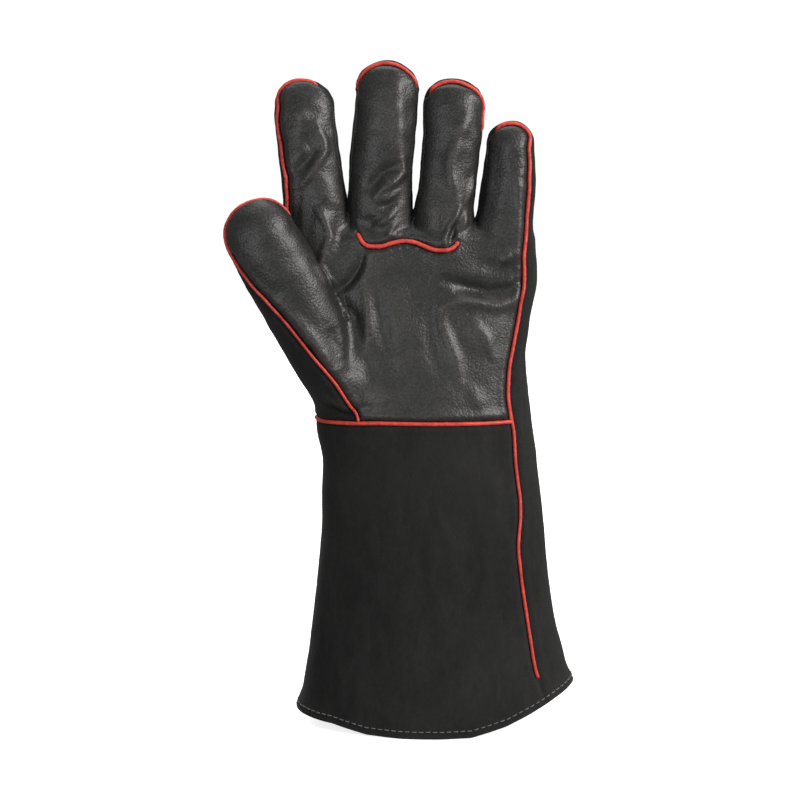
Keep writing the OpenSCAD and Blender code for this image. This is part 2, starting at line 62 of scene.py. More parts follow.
INDEX = [
    [222, -37, 0, 15, 9, 2.2], [238, -40.8, 0, 18.2, 12.2, 2.2], [250, -43.6, 0, 19.5, 13.8, 2.2], [256, -44, 0, 19, 13.8, 2.2], [277, -46.2, 0, 17.3, 13.6, 2.2],
    [291, -47.5, 0, 16.4, 13.2, 2.2], [304, -49, 0, 16.2, 13, 2.2],
    [318, -50.6, 0, 15.8, 12.7, 2.2], [331, -51.6, 0, 15.3, 12.2, 2.2],
]
MIDDLE = [
    [222, -12, 0, 15, 9, 2.2], [238, -12, 0, 18.8, 12.5, 2.2], [250, -12, 0, 19.5, 14, 2.2], [256, -12, 0, 19, 14, 2.2], [277, -12.3, 0, 17, 13.8, 2.2],
    [292, -12.3, 0, 16.6, 13.5, 2.2], [306, -11.8, 0, 16.7, 13.4, 2.2],
    [323, -10, 0, 16.6, 13.1, 2.2], [340, -8.7, 0, 16.5, 12.6, 2.2],
]
RING = [
    [222, 20, 0, 14, 9, 2.2], [238, 20.3, 0, 17.6, 12.3, 2.2], [250, 20.5, 0, 18.5, 13.8, 2.2], [256, 20.5, 0, 18, 13.8, 2.2], [277, 21, 0, 15.9, 13.6, 2.2],
    [291, 22.7, 0, 15, 13.2, 2.2], [304, 24, 0, 15, 13, 2.2],
    [319, 25.6, 0, 15.5, 12.8, 2.2], [332, 25.7, 0, 15.8, 12.2, 2.2],
]
LITTLE = [
    [214, 47, 0, 13, 8, 2.2], [230, 49.6, 0, 16.6, 11.2, 2.2], [242, 51.3, 0, 18.5, 12.8, 2.2], [248, 51.5, 0, 18, 12.8, 2.2], [268, 52.5, 0, 16, 12.6, 2.2],
    [281, 53.8, 0, 14.8, 12.2, 2.2], [292, 54.8, 0, 14.3, 12, 2.2],
    [303, 55.4, 0, 13.2, 11.6, 2.2], [312, 55.6, 0, 12.6, 11.2, 2.2],
]
THUMB = [
    [-46, 0, -3, 17, 20, 2], [-25, 0, -8, 19, 20, 2], [-8, 0, -13, 19.5, 18, 2],
    [8, 0, -17, 19.4, 16, 2], [24, 0, -20.5, 19.3, 15, 2], [38, 0, -23, 19.3, 14.3, 2],
    [54, 0, -25, 18.6, 13.6, 2],
]
LEAN = math.radians(27.3)
TH_AT = np.array([-48.5, 0.0, 219.2])
TH_X = np.array([math.cos(LEAN), 0.0, math.sin(LEAN)])
TH_Z = np.array([-math.sin(LEAN), 0.0, math.cos(LEAN)])
WALLS = [-30.0, 6.2, 38.45]          # planes between the fingers
FINGER = ["index", "middle", "ring", "little"]
BASE = {"index": (278, 304), "middle": (279, 305), "ring": (278, 304), "little": (270, 292)}
MID = {"index": (305, 331), "middle": (310, 336), "ring": (306, 332), "little": (293, 313)}
CUT = {"index": 304.5, "middle": 307.5, "ring": 305.0, "little": 292.5}
ROOT_Z = 262.0
WRIST = (148, 188)
TH_BASE, TH_MID, TH_CUT = (-5, 21), (25, 51), 23.0
SC = -6.0                             # where the thumb leaves the hand's own mesh
LEATHER = 1.6


class Curve:
    """A smooth curve through given points that never overshoots."""

    def __init__(self, x, y):
        x, y = np.array(x, float), np.array(y, float)
        h, d = np.diff(x), np.diff(y) / np.diff(x)
        m = np.zeros(len(x))
        if len(x) > 2:
            w1, w2 = 2 * h[1:] + h[:-1], h[1:] + 2 * h[:-1]
            same = d[:-1] * d[1:] > 0
            with np.errstate(divide="ignore", invalid="ignore"):
                m[1:-1] = np.where(same, (w1 + w2) / (w1 / d[:-1] + w2 / d[1:]), 0)
        m[0], m[-1] = d[0], d[-1]
        self.x = np.arange(x[0], x[-1] + 1e-9, 0.25)
        i = np.clip(np.searchsorted(x, self.x, side="right") - 1, 0, len(h) - 1)
        t = (self.x - x[i]) / h[i]
        self.v = ((1 + 2 * t) * (1 - t) ** 2 * y[i] + t * (1 - t) ** 2 * h[i] * m[i]
                  + t * t * (3 - 2 * t) * y[i + 1] + t * t * (t - 1) * h[i] * m[i + 1])

    def __call__(self, q):
        return np.interp(q, self.x, self.v)


class Loft:
    """Signed distance, near enough, to a smooth loft through stations, with a round tip."""

    def __init__(self, st, tip=None):
        st = np.array(st, float)
        self.z0, self.z1, self.tip = st[0, 0], st[-1, 0], tip
        self.c = [Curve(st[:, 0], st[:, i]) for i in range(1, 6)]

    def at(self, z):
        return [c(z) for c in self.c]

    def __call__(self, P, m=2.15):
        x, y, z = P[:, 0], P[:, 1], P[:, 2]
        cx, cy, a, b, n = self.at(np.clip(z, self.z0, self.z1))
        u, v = np.abs(x - cx) / a + 1e-5, np.abs(y - cy) / b + 1e-5
        un, vn = u ** n, v ** n
        q = un + vn
        rho = q ** (1 / n)
        g = np.hypot(un / u / a, vn / v / b) * rho / q
        if self.tip:
            t = np.maximum(z - self.z1, 0) / self.tip
            up = t > 0
            r3 = (rho[up] ** m + t[up] ** m) ** (1 / m)
            g3 = np.hypot(rho[up] ** (m - 1) * g[up], t[up] ** (m - 1) / self.tip) * r3 ** (1 - m)
            d = (rho - 1) / g
            d[up] = (r3 - 1) / g3
        else:
            d = np.maximum((rho - 1) / g, z - self.z1)
        return np.maximum(d, self.z0 - z)


L_BODY = Loft(BODY, 9)
L_FING = [Loft(INDEX, 16), Loft(MIDDLE, 16), Loft(RING, 15), Loft(LITTLE, 13)]
# above the crotches the walls keep midway between the fingers' sides
WALL_Z = np.linspace(250, 360, 111)
WALL_X = []
for _i, _w in enumerate(WALLS):
    _l, _r = L_FING[_i], L_FING[_i + 1]
    _a, _b = _l.at(np.minimum(WALL_Z, _l.z1 - 4)), _r.at(np.minimum(WALL_Z, _r.z1 - 4))
    _mid = 0.5 * (_a[0] + _a[2] + _b[0] - _b[2])
    _t = np.clip((WALL_Z - 274) / 12, 0, 1)
    WALL_X.append(_w + (_mid - _w) * _t * _t * (3 - 2 * _t))


def wall_at(i, z):
    return np.interp(z, WALL_Z, WALL_X[i])


L_THUMB = Loft(THUMB, 19)
FING_K = Curve([236, 262, 278, 370], [4.5, 4.0, 0.9, 0.9])


def smin(a, b, k):
    h = np.maximum(k - np.abs(a - b), 0) / k
    return np.minimum(a, b) - h * h * k / 4


def smax(a, b, k):
    return -smin(-a, -b, k)


def step(x, a, b):
    t = np.clip((x - a) / (b - a), 0, 1)
    return t * t * (3 - 2 * t)


def local(P):
    D = P - TH_AT
    return np.stack([D @ TH_X, D[:, 1], D @ TH_Z], 1)


def unlocal(Q):
    Q = np.atleast_2d(np.array(Q, float))
    return TH_AT + Q[:, :1] * TH_X + Q[:, 1:2] * np.array([0, 1.0, 0]) + Q[:, 2:] * TH_Z


def f_palm(P):
    """The hand, the cuff and the four fingers, without the thumb."""
    d = L_BODY(P)
    up = P[:, 2] > 205
    if up.any():
        Q, e = P[up], d[up]
        k = FING_K(Q[:, 2])
        for L in L_FING:
            e = smin(e, L(Q), k)
        d[up] = e
    return d


def f_thumb(P):
    d = np.full(len(P), 40.0)
    near = (P[:, 0] < 8) & (P[:, 2] > 160) & (P[:, 2] < 310)
    if near.any():
        d[near] = L_THUMB(local(P[near]))
    return d


def f_hand(P):
    t = f_thumb(P)
    s = (P - TH_AT) @ TH_Z
    root = smax(t, s - (SC + 2.2), 2.5)
    return smin(f_palm(P), root, 5.0)


def f_own_thumb(P):
    t, d = f_thumb(P), f_palm(P)
    h = np.maximum(5 - np.abs(t - d), 0) / 5
    return t - h * h * 5 / 4


def gradient(F, P, e=0.15):
    G = np.empty_like(P)
    for i in range(3):
        D = np.zeros(3)
        D[i] = e
        G[:, i] = (F(P + D) - F(P - D)) / (2 * e)
    return G


def unit(v):
    return v / np.maximum(np.linalg.norm(v, axis=-1, keepdims=True), 1e-12)


# ------------------------------------------------------------ meshing by code
def upsample(a, k, axis):
    n = a.shape[axis]
    i = np.arange((n - 1) * k + 1)
    lo = np.minimum(i // k, n - 2)
    t = (i - lo * k) / k
    shape = [1, 1, 1]
    shape[axis] = -1
    t = t.reshape(shape)
    return np.take(a, lo, axis) * (1 - t) + np.take(a, lo + 1, axis) * t


def sample(F, lo, hi, h):
    """F on a fine grid, worked out in full only near the surface."""
    lo = np.array(lo, float)
    nc = np.ceil((np.array(hi) - lo) / (4 * h)).astype(int) + 1
    ax = [lo[i] + np.arange(nc[i]) * 4 * h for i in range(3)]
    C = np.stack(np.meshgrid(*ax, indexing="ij"), -1).reshape(-1, 3)
    V = F(C).reshape(nc)
    for i in range(3):
        V = upsample(V, 4, i)
    near = np.abs(V) < 5.5 * h
    I = np.argwhere(near)
    V[near] = F(I * h + lo)
    return V, lo


def nets(V, org, h):
    """A closed quad mesh on the zero surface of the grid (surface nets)."""
    s = V < 0
    corner = [(i, j, k) for i in (0, 1) for j in (0, 1) for k in (0, 1)]
    n = [d - 1 for d in V.shape]

    def part(A, c):
        return A[c[0]:c[0] + n[0], c[1]:c[1] + n[1], c[2]:c[2] + n[2]]

    count = sum(part(s, c).astype(np.int8) for c in corner)
    cells = (count > 0) & (count < 8)
    I = np.argwhere(cells)
    ids = np.full(cells.shape, -1, np.int64)
    ids[cells] = np.arange(len(I))
    vals = [V[I[:, 0] + c[0], I[:, 1] + c[1], I[:, 2] + c[2]] for c in corner]
    acc, num = np.zeros((len(I), 3)), np.zeros(len(I))
    for a in range(8):
        for b in range(a + 1, 8):
            ca, cb = np.array(corner[a]), np.array(corner[b])
            if np.abs(ca - cb).sum() != 1:
                continue
            cross = (vals[a] < 0) != (vals[b] < 0)
            t = np.where(cross, vals[a] / np.where(cross, vals[a] - vals[b], 1), 0)
            acc += cross[:, None] * (ca + (cb - ca) * t[:, None])
            num += cross
    P = (I + acc / num[:, None]) * h + org
    quads = []
    for axis in range(3):
        u, w = (axis + 1) % 3, (axis + 2) % 3
        a = [slice(None)] * 3
        b = [slice(None)] * 3
        a[axis], b[axis] = slice(0, -1), slice(1, None)
        sa, sb = s[tuple(a)], s[tuple(b)]
        E = np.argwhere(sa != sb)
        E = E[(E[:, u] > 0) & (E[:, w] > 0) & (E[:, u] < n[u]) & (E[:, w] < n[w])]
        if not len(E):
            continue
        inside = s[E[:, 0], E[:, 1], E[:, 2]]
        q = []
        for du, dw in ((-1, -1), (0, -1), (0, 0), (-1, 0)):
            c = E.copy()
            c[:, u] += du
            c[:, w] += dw
            q.append(ids[c[:, 0], c[:, 1], c[:, 2]])
        q = np.stack(q, 1)
        q[~inside] = q[~inside][:, ::-1]
        quads.append(q)
    return P, np.vstack(quads)


def relax(F, P, Q, rounds=4):
    """Evens the quads out along the surface and puts every vertex on it."""
    E = np.unique(np.sort(np.vstack([Q[:, [0, 1]], Q[:, [1, 2]], Q[:, [2, 3]], Q[:, [3, 0]]]), 1), axis=0)
    n = len(P)
    deg = np.bincount(E.ravel(), minlength=n).astype(float)
    for r in range(rounds):
        S = np.stack([np.bincount(E[:, 0], P[E[:, 1], i], n) + np.bincount(E[:, 1], P[E[:, 0], i], n)
                      for i in range(3)], 1) / deg[:, None]
        P = P + 0.5 * (S - P)
        if r >= rounds - 2:
            G = gradient(F, P)
            P = P - (F(P) / np.maximum((G * G).sum(1), 0.05))[:, None] * G
    return P


def triangles(P, Q):
    a = np.linalg.norm(P[Q[:, 0]] - P[Q[:, 2]], axis=1)
    b = np.linalg.norm(P[Q[:, 1]] - P[Q[:, 3]], axis=1)
    s = a <= b
    T1 = np.where(s[:, None], Q[:, [0, 1, 2]], Q[:, [0, 1, 3]])
    T2 = np.where(s[:, None], Q[:, [0, 2, 3]], Q[:, [1, 2, 3]])
    return np.vstack([T1, T2])


def surface(F, lo, hi, h):
    V, org = sample(F, lo, hi, h)
    P, Q = nets(V, org, h)
    P = relax(F, P, Q)
    return P, triangles(P, Q)


def split(P, T, f, mask=None):
    """Cuts the triangles in mask along f = 0. Returns the points, the triangles, which
    old triangle each comes from, and the side that it is on."""
    s = f.copy()
    s[np.abs(s) < 0.06] = 0
    ts = s[T]
    mixed = (ts.max(1) > 0) & (ts.min(1) < 0)
    if mask is not None:
        mixed &= mask
    keep = np.flatnonzero(~mixed)
    side = np.where(ts.sum(1) >= 0, 1, -1)
    out_T, out_from, out_side = [T[keep]], [keep], [side[keep]]
    M = np.flatnonzero(mixed)
    if len(M):
        A, S = T[M], ts[M]
        zero = (S == 0).any(1)
        lone = np.zeros(len(M), int)
        for i in range(3):
            o1, o2 = S[:, (i + 1) % 3], S[:, (i + 2) % 3]
            lone[(~zero) & (S[:, i] * o1 < 0) & (S[:, i] * o2 < 0)] = i
            lone[zero & (S[:, i] == 0)] = i
        r = (np.arange(3)[None] + lone[:, None]) % 3
        A, S = np.take_along_axis(A, r, 1), np.take_along_axis(S, r, 1)
        n = len(P)
        pairs = np.vstack([A[~zero][:, [0, 1]], A[~zero][:, [0, 2]], A[zero][:, [1, 2]]])
        key = np.sort(pairs, 1)
        uniq, inv = np.unique(key[:, 0] * n + key[:, 1], return_inverse=True)
        a, b = uniq // n, uniq % n
        t = s[a] / (s[a] - s[b])
        P = np.vstack([P, P[a] + (P[b] - P[a]) * t[:, None]])
        inv = inv.ravel() + n
        k = (~zero).sum()
        p01, p02, p12 = inv[:k], inv[k:2 * k], inv[2 * k:]
        Z, W = A[~zero], A[zero]
        sg, sw = np.sign(S[~zero]).astype(int), np.sign(S[zero]).astype(int)
        mz, mw = M[~zero], M[zero]
        out_T += [np.stack([Z[:, 0], p01, p02], 1), np.stack([p01, Z[:, 1], Z[:, 2]], 1),
                  np.stack([p01, Z[:, 2], p02], 1), np.stack([W[:, 0], W[:, 1], p12], 1),
                  np.stack([W[:, 0], p12, W[:, 2]], 1)]
        out_from += [mz, mz, mz, mw, mw]
        out_side += [sg[:, 0], -sg[:, 0], -sg[:, 0], sw[:, 1], sw[:, 2]]
    return P, np.vstack(out_T), np.concatenate(out_from), np.concatenate(out_side)


def vertex_normals(P, T):
    N = np.cross(P[T[:, 1]] - P[T[:, 0]], P[T[:, 2]] - P[T[:, 0]])
    out = np.stack([sum(np.bincount(T[:, i], N[:, j], len(P)) for i in range(3)) for j in range(3)], 1)
    return unit(out)


# --------------------------------------------------------------- seams (mm)
HEM = Curve([-1.01, -0.84, -0.65, -0.41, -0.12, 0.155, 0.43, 0.72, 0.86, 1.01],
            [5.2, 5.0, 3.0, 0.0, 0.0, 0.0, 3.8, 12.0, 17.0, 20.5])
SIDE_X = Curve([-10, 25, 34, 51, 67, 84, 92, 101, 109, 117, 125, 136, 150, 163, 173, 184, 194, 205,
                216, 226, 237, 242, 253, 263, 274, 284, 294, 305, 312],
               [81, 74.3, 71, 68, 65.4, 62.8, 61.9, 61, 61.4, 62.2, 62.1, 60.6, 59, 58.2, 56.3, 55, 55.2,
                56.8, 59, 60.7, 62.2, 63.4, 63.0, 62.4, 62.8, 63.7, 64.2, 64.2, 63.2])
LEFT_Y = Curve([-10, 150, 168, 180, 200, 240, 262, 290], [6.2, 5, 4, 1, -3, -5, -6.5, -7])
INDEX_X = Curve([250, 262, 272, 283, 294, 301.5, 315, 327, 333],
                [-58.6, -60.2, -60.7, -60.6, -60.6, -61.8, -64.0, -65.1, -64.3])
BASE_X = Curve([-34, -27, -23.7, -22.2, -18.6, -12.4, -6.7, 0.6, 5.8, 11, 17.7, 22.3, 26.5, 28, 44],
               [264, 270, 267, 264, 261.4, 261.3, 263, 264.2, 263.4, 261.3, 259.3, 259.4, 261.2, 263.2, 262])
WRIST_Z = Curve([-60, -46, -30, -10, 20, 57, 70], [168.2, 168.2, 168.6, 169.5, 169.3, 168.9, 168.6])
THUMB_OUT = np.array([[-23.4, 168], [-24.6, 173.7], [-29, 180], [-35.5, 191], [-43, 201], [-51, 212],
                      [-59, 222], [-69.5, 234.5], [-77, 243], [-83, 249], [-90, 253]], float)
TH_LINE = Curve([-60, -46, -25, -8, 8, 24, 38, 54, 80],
                [5, 1.5, -3.5, -6, -9, -12.5, -16, -17.8, -17.8])


def front_y(L, x, z):
    cx, cy, a, b, n = L.at(z)
    u = np.minimum(np.abs(x - cx) / a, 0.985)
    return cy - b * (1 - u ** n) ** (1 / n)


def hem_at(P):
    cx, cy, a, b, n = L_BODY.at(P[:, 2])
    c = (P[:, 0] - cx) / np.hypot((P[:, 0] - cx), (P[:, 1] - cy) * a / b)
    return HEM(c)


def g_body(P):
    """Positive on the back panel, negative on the palm side."""
    x, y, z = P.T
    return np.maximum(x - SIDE_X(z), y - LEFT_Y(z))


def polyline_distance(x, z, pts):
    """Distance to a polyline in the front view, its side and how far along it is."""
    best = np.full(len(x), 1e9)
    side = np.zeros(len(x))
    along = np.zeros(len(x))
    run = 0.0
    for a, b in zip(pts[:-1], pts[1:]):
        d = b - a
        ln = math.hypot(*d)
        t = np.clip(((x - a[0]) * d[0] + (z - a[1]) * d[1]) / ln ** 2, 0, 1)
        ex, ez = x - a[0] - t * d[0], z - a[1] - t * d[1]
        r = np.hypot(ex, ez)
        near = r < best
        best = np.where(near, r, best)
        side = np.where(near, d[0] * ez - d[1] * ex, side)
        along = np.where(near, run + t * ln, along)
        run += ln
    return best, np.sign(side), along, run


def g_thumb(Q):
    """The same for the thumb's own mesh, in the thumb's frame."""
    x, y, s = Q.T
    cx, cy, a, b, n = L_THUMB.at(np.clip(s, -46, 54))
    back = 0.78 - 0.33 * step(s, 40, 54)
    yt = cy + b * (-0.29 + back * np.clip((x + 18) / 37, 0, 1))
    line = np.where(s > 54, -9.0, TH_LINE(s) - x)
    return np.maximum(line, y - yt)


def g_finger(k, P):
    x, y, z = P.T
    L = L_FING[k]
    cx, cy, a, b, n = L.at(np.clip(z, L.z0, L.z1))
    u = np.clip((x - cx) / a, -1, 1) * 0.5 + 0.5
    w = step(z, L.z1 - 2, L.z1 + L.tip * 0.85)
    side = -3.4 + 1.7 * step(z, L.z1 - 14, L.z1 - 2)
    left, right, tip = side, side, -5.3
    if k == 0:
        left = front_y(L, INDEX_X(z), np.clip(z, L.z0, L.z1))
        tip = -3.2
    if k == 2:
        right = -3.4 + 1.8 * step(z, 310, 320)
    if k == 3:
        right = front_y(L, SIDE_X(z), np.clip(z, L.z0, L.z1))
        tip = -4.2
    return y - ((left * (1 - u) + right * u) * (1 - w) + tip * w)


def slot_of(x, z):
    return sum((x > wall_at(i, z)).astype(int) for i in range(3))


def g_above(P):
    """Palm side or back, from the wrist seam up."""
    x, y, z = P.T
    g = g_body(P)
    gf = np.zeros(len(P))
    k = slot_of(x, z)
    for i in range(4):
        m = (k == i) & (z > 250)
        if m.any():
            gf[m] = g_finger(i, P[m])
    w = step(z, 254, 270)
    g = g * (1 - w) + gf * w
    d, side, along, run = polyline_distance(x, z, THUMB_OUT)
    # the seam that sets the thumb in: the left side of it is suede
    c = np.where((y < 4) & (z < 236), d * side, -9)
    return np.maximum(g, c)


# ------------------------------------------------------------ folds and waves
# Each fold is a line in the front view with its height (mm, negative for a
# valley) and its width. They lie on the palm side only.
FOLDS = [
    # index finger
    (np.array([(-45.2, 323.9), (-41.5, 316.5), (-41, 310.2), (-45.2, 303.8), (-48.9, 298.1), (-52.6, 293.3)]), 1.0, 2.3),
    (np.array([(-49.9, 316.5), (-46.8, 310.2), (-51.5, 303.8), (-57.8, 298.6)]), -0.9, 3.0),
    (np.array([(-53.1, 332.3), (-52.6, 324.9)]), 0.7, 4.5),
    (np.array([(-44.1, 280.7), (-40.4, 273.3), (-38.3, 267), (-41, 259.6), (-43.6, 253.3)]), 0.9, 2.4),
    (np.array([(-34.1, 278.6), (-32.5, 265.4), (-34.6, 256.5)]), -0.7, 4.0),
    (np.array([(-48.9, 283.8), (-49.4, 265.4)]), -0.6, 3.5),
    (np.array([(-41, 256.5), (-43.6, 251.7), (-40.4, 245.4), (-36.8, 242.2)]), 0.9, 1.8),
    (np.array([(-21.5, 257.5), (-23.6, 250.1), (-28.3, 242.8), (-35.7, 236.4)]), -1.3, 2.4),
    (np.array([(-54.7, 289.1), (-56.8, 270.7)]), -0.5, 2.5),
    # hollow between the thumb and the palm, soft folds of the palm
    (np.array([(-31.5, 232.2), (-27.3, 223.8), (-26.2, 214.3), (-27.3, 198.5)]), -1.8, 3.8),
    (np.array([(-19.9, 243.8), (-18.9, 231.2), (-18.3, 219.6), (-19.4, 207.5)]), 0.7, 3.2),
    (np.array([(-13.6, 233.3), (-9.9, 215.4), (-6.7, 201.7)]), -0.7, 4.5),
    (np.array([(-2, 241.7), (-0.4, 220.6)]), 0.35, 6.0),
    (np.array([(22.2, 243.8), (32.2, 240.1), (43.8, 237.2), (56.5, 238.8), (60.7, 242.8)]), -1.15, 3.3),
    (np.array([(21.2, 230.7), (29.1, 233.3), (39.1, 232.2), (49.1, 229.9), (57, 232.5), (61.7, 237)]), 1.15, 2.9),
    (np.array([(20.1, 229.1), (19.6, 221.7), (23.3, 212.7), (27.5, 202.7), (29.6, 191.2)]), 0.8, 3.2),
    (np.array([(13.8, 231.2), (13.8, 215.4), (19.1, 193.3)]), -0.6, 5.0),
    (np.array([(37, 221.7), (42.8, 214.3), (46.4, 203.8)]), 0.5, 2.6),
    (np.array([(40.1, 251.2), (57, 249.1)]), -0.9, 5.0),
    (np.array([(-19.9, 189), (-13.6, 181.7)]), 0.7, 5.0),
    (np.array([(34.9, 189), (41.2, 176.4)]), 0.45, 4.0),
    # middle finger
    (np.array([(-1.2, 306.5), (-0.6, 299.5), (-5.3, 294.6), (-10.6, 291.0), (-14.6, 287.0)]), 1.15, 2.1),
    (np.array([(-4.1, 303.3), (-11.5, 298.6), (-17.8, 291.2)]), -1.25, 2.8),
    (np.array([(-3.1, 350.2), (-2.5, 326), (-2.5, 306)]), 0.7, 4.2),
    (np.array([(-14.6, 272.3), (-9.4, 274.9), (-5.2, 278.6)]), 0.8, 1.8),
    (np.array([(-8.8, 264.9), (-6.7, 270.1), (-4.1, 273.3)]), 0.8, 1.8),
    (np.array([(-19.9, 277.5), (-17.8, 267)]), -1.2, 6.0),
    (np.array([(-3.1, 285.2), (-7.3, 282.7), (-12.5, 281.1)]), -0.9, 1.9),
    (np.array([(-3.4, 289.6), (-8.2, 286.4), (-14.8, 284.8)]), 0.5, 1.8),
    # ring finger
    (np.array([(32.8, 330.2), (28, 316.5), (24.3, 303.8), (25.4, 293.8), (28.5, 285.9)]), 0.9, 3.6),
    (np.array([(29.1, 281.2), (24.3, 272.3), (21.2, 264.9), (22.2, 260.1)]), 1.2, 1.7),
    (np.array([(27, 273.8), (23.8, 262.8)]), -1.2, 1.7),
    (np.array([(32.2, 278.6), (30.6, 269.6)]), 0.9, 1.4),
    (np.array([(36.4, 297), (33.3, 283.8)]), 0.7, 1.3),
    (np.array([(17.5, 320.7), (17, 289.1)]), -0.5, 5.0),
    # little finger
    (np.array([(59.6, 297), (60.1, 278.6), (60.1, 258.6)]), 0.6, 2.8),
    (np.array([(49.1, 315.4), (46.4, 291.7), (42.2, 273.3)]), -0.6, 5.0),
    (np.array([(55.9, 257.5), (50.7, 251.2)]), 0.6, 2.2),
    # thumb
    (np.array([(-63.1, 234.3), (-53.1, 223.3), (-45.2, 212.7), (-36.2, 199.1)]), 1.1, 3.4),
    (np.array([(-38.9, 221.7), (-32, 204.8)]), -0.9, 4.0),
    (np.array([(-83.1, 265.9), (-74.7, 251.2)]), 0.5, 7.0),
    # the suede between the thumb seam and the wrist
    (np.array([(-41, 179.6), (-28.3, 172.7)]), -0.9, 1.5),
    (np.array([(-43.1, 183.3), (-31.5, 176.9)]), 0.6, 2.0),
    # broad fullness of the palm
    (np.array([(31.0, 222.0), (50.0, 212.0)]), 0.75, 10.0),
    (np.array([(-16.0, 184.0), (-10.0, 178.0)]), 0.55, 7.0),
    (np.array([(24.0, 240.0), (56.0, 240.5)]), -0.55, 6.0),
]


BACK_FOLDS = [
    # creases over the finger joints
    (np.array([(-62, 309), (-49, 305.5), (-37, 308)]), -0.75, 1.8),
    (np.array([(-60, 301), (-48, 299), (-36, 301)]), -0.5, 1.5),
    (np.array([(-26, 313), (-11, 309), (3, 311.5)]), -0.8, 1.8),
    (np.array([(-24, 303), (-11, 301.5), (2, 303)]), -0.5, 1.5),
    (np.array([(11, 309), (24, 305.5), (37, 308.5)]), -0.75, 1.8),
    (np.array([(12, 299), (24, 297.5), (35, 300)]), -0.45, 1.5),
    (np.array([(44, 297), (55, 293), (66, 294.5)]), -0.7, 1.7),
    # knuckles and the hollows between them
    (np.array([(-42, 268), (-42, 256)]), 0.8, 9.0),
    (np.array([(-12, 272), (-12, 258)]), 0.8, 9.0),
    (np.array([(20, 269), (19, 256)]), 0.7, 8.0),
    (np.array([(50, 258), (49, 248)]), 0.7, 8.0),
    (np.array([(-29, 274), (-26, 245), (-18, 215)]), -0.85, 5.0),
    (np.array([(5, 274), (5, 248), (5, 218)]), -0.75, 5.0),
    (np.array([(36, 270), (32, 246), (26, 220)]), -0.75, 5.0),
    # slack over the back of the hand and at the wrist
    (np.array([(-44, 212), (-30, 203), (-10, 199), (12, 201)]), 0.55, 4.0),
    (np.array([(-40, 203), (-26, 195), (-8, 191), (10, 193)]), -0.6, 3.5),
    (np.array([(60, 190), (44, 184), (24, 183), (6, 186)]), -0.7, 3.6),
    (np.array([(58, 180), (42, 175), (20, 174)]), 0.6, 4.5),
    (np.array([(-38, 178), (-22, 172), (-2, 171), (14, 173)]), -0.6, 4.0),
    (np.array([(-42, 168), (-30, 160), (-12, 157)]), 0.5, 5.0),
    (np.array([(62, 166), (48, 158), (30, 156)]), -0.55, 5.0),
    # long soft waves of the cuff
    (np.array([(-20, 140), (-24, 100), (-30, 50)]), 0.8, 9.0),
    (np.array([(20, 145), (24, 95), (28, 40)]), -0.7, 10.0),
    (np.array([(52, 140), (58, 95), (66, 45)]), 0.7, 8.0),
]


def waves(P, seed, length, n=7):
    """Smooth noise of about one wavelength, the same every run."""
    r = np.random.default_rng(seed)
    k = unit(r.normal(size=(n, 3))) * (2 * math.pi / length) * r.uniform(0.7, 1.4, (n, 1))
    return np.sin(P @ k.T + r.uniform(0, 6.28, n)).sum(1) / math.sqrt(n)


def folds(P, N):
    """Height of the folds and waves over the plain surface."""
    x, y, z = P.T
    front, rear = step(-N[:, 1], 0.05, 0.5), step(N[:, 1], 0.05, 0.5)
    out = np.zeros(len(P))
    for pts, h, w, face in [(*f, front) for f in FOLDS] + [(*f, rear * 1.35) for f in BACK_FOLDS]:
        lo, hi = pts.min(0) - 3 * w, pts.max(0) + 3 * w
        m = (x > lo[0]) & (x < hi[0]) & (z > lo[1]) & (z < hi[1])
        if not m.any():
            continue
        d, side, along, run = polyline_distance(x[m], z[m], pts)
        ends = np.sin(np.clip(along / run, 0.04, 0.96) * math.pi) ** 0.45
        out[m] += h * 1.85 * np.exp(-(d / (0.92 * w)) ** 2) * ends * face[m]
    hand = step(z, 168, 185)
    out += hand * (0.28 * waves(P, 3, 34) + 0.14 * waves(P * [1, 1, 0.8], 4, 13))
    # creases across the fingers where they bend, mostly on the palm side
    fing = step(z, 268, 284)
    out += fing * (0.10 + 0.12 * front) * waves(P * [0.35, 0.6, 1.0], 5, 8.5)
    low = z < 40
    if low.any():
        h = z[low] - hem_at(P[low])
        out[low] += 2.9 * (1 - step(h, -3, 14)) * np.clip(np.abs(N[low, 0]) * 1.3 - 0.3, 0, 1)
    cuff = 1 - step(z, 150, 172)
    out += cuff * (0.55 * waves(P * [1, 1, 0.7], 6, 90) + 0.22 * waves(P * [1, 1, 0.6], 7, 36)
                   + 0.05 * waves(P, 8, 9))
    return out


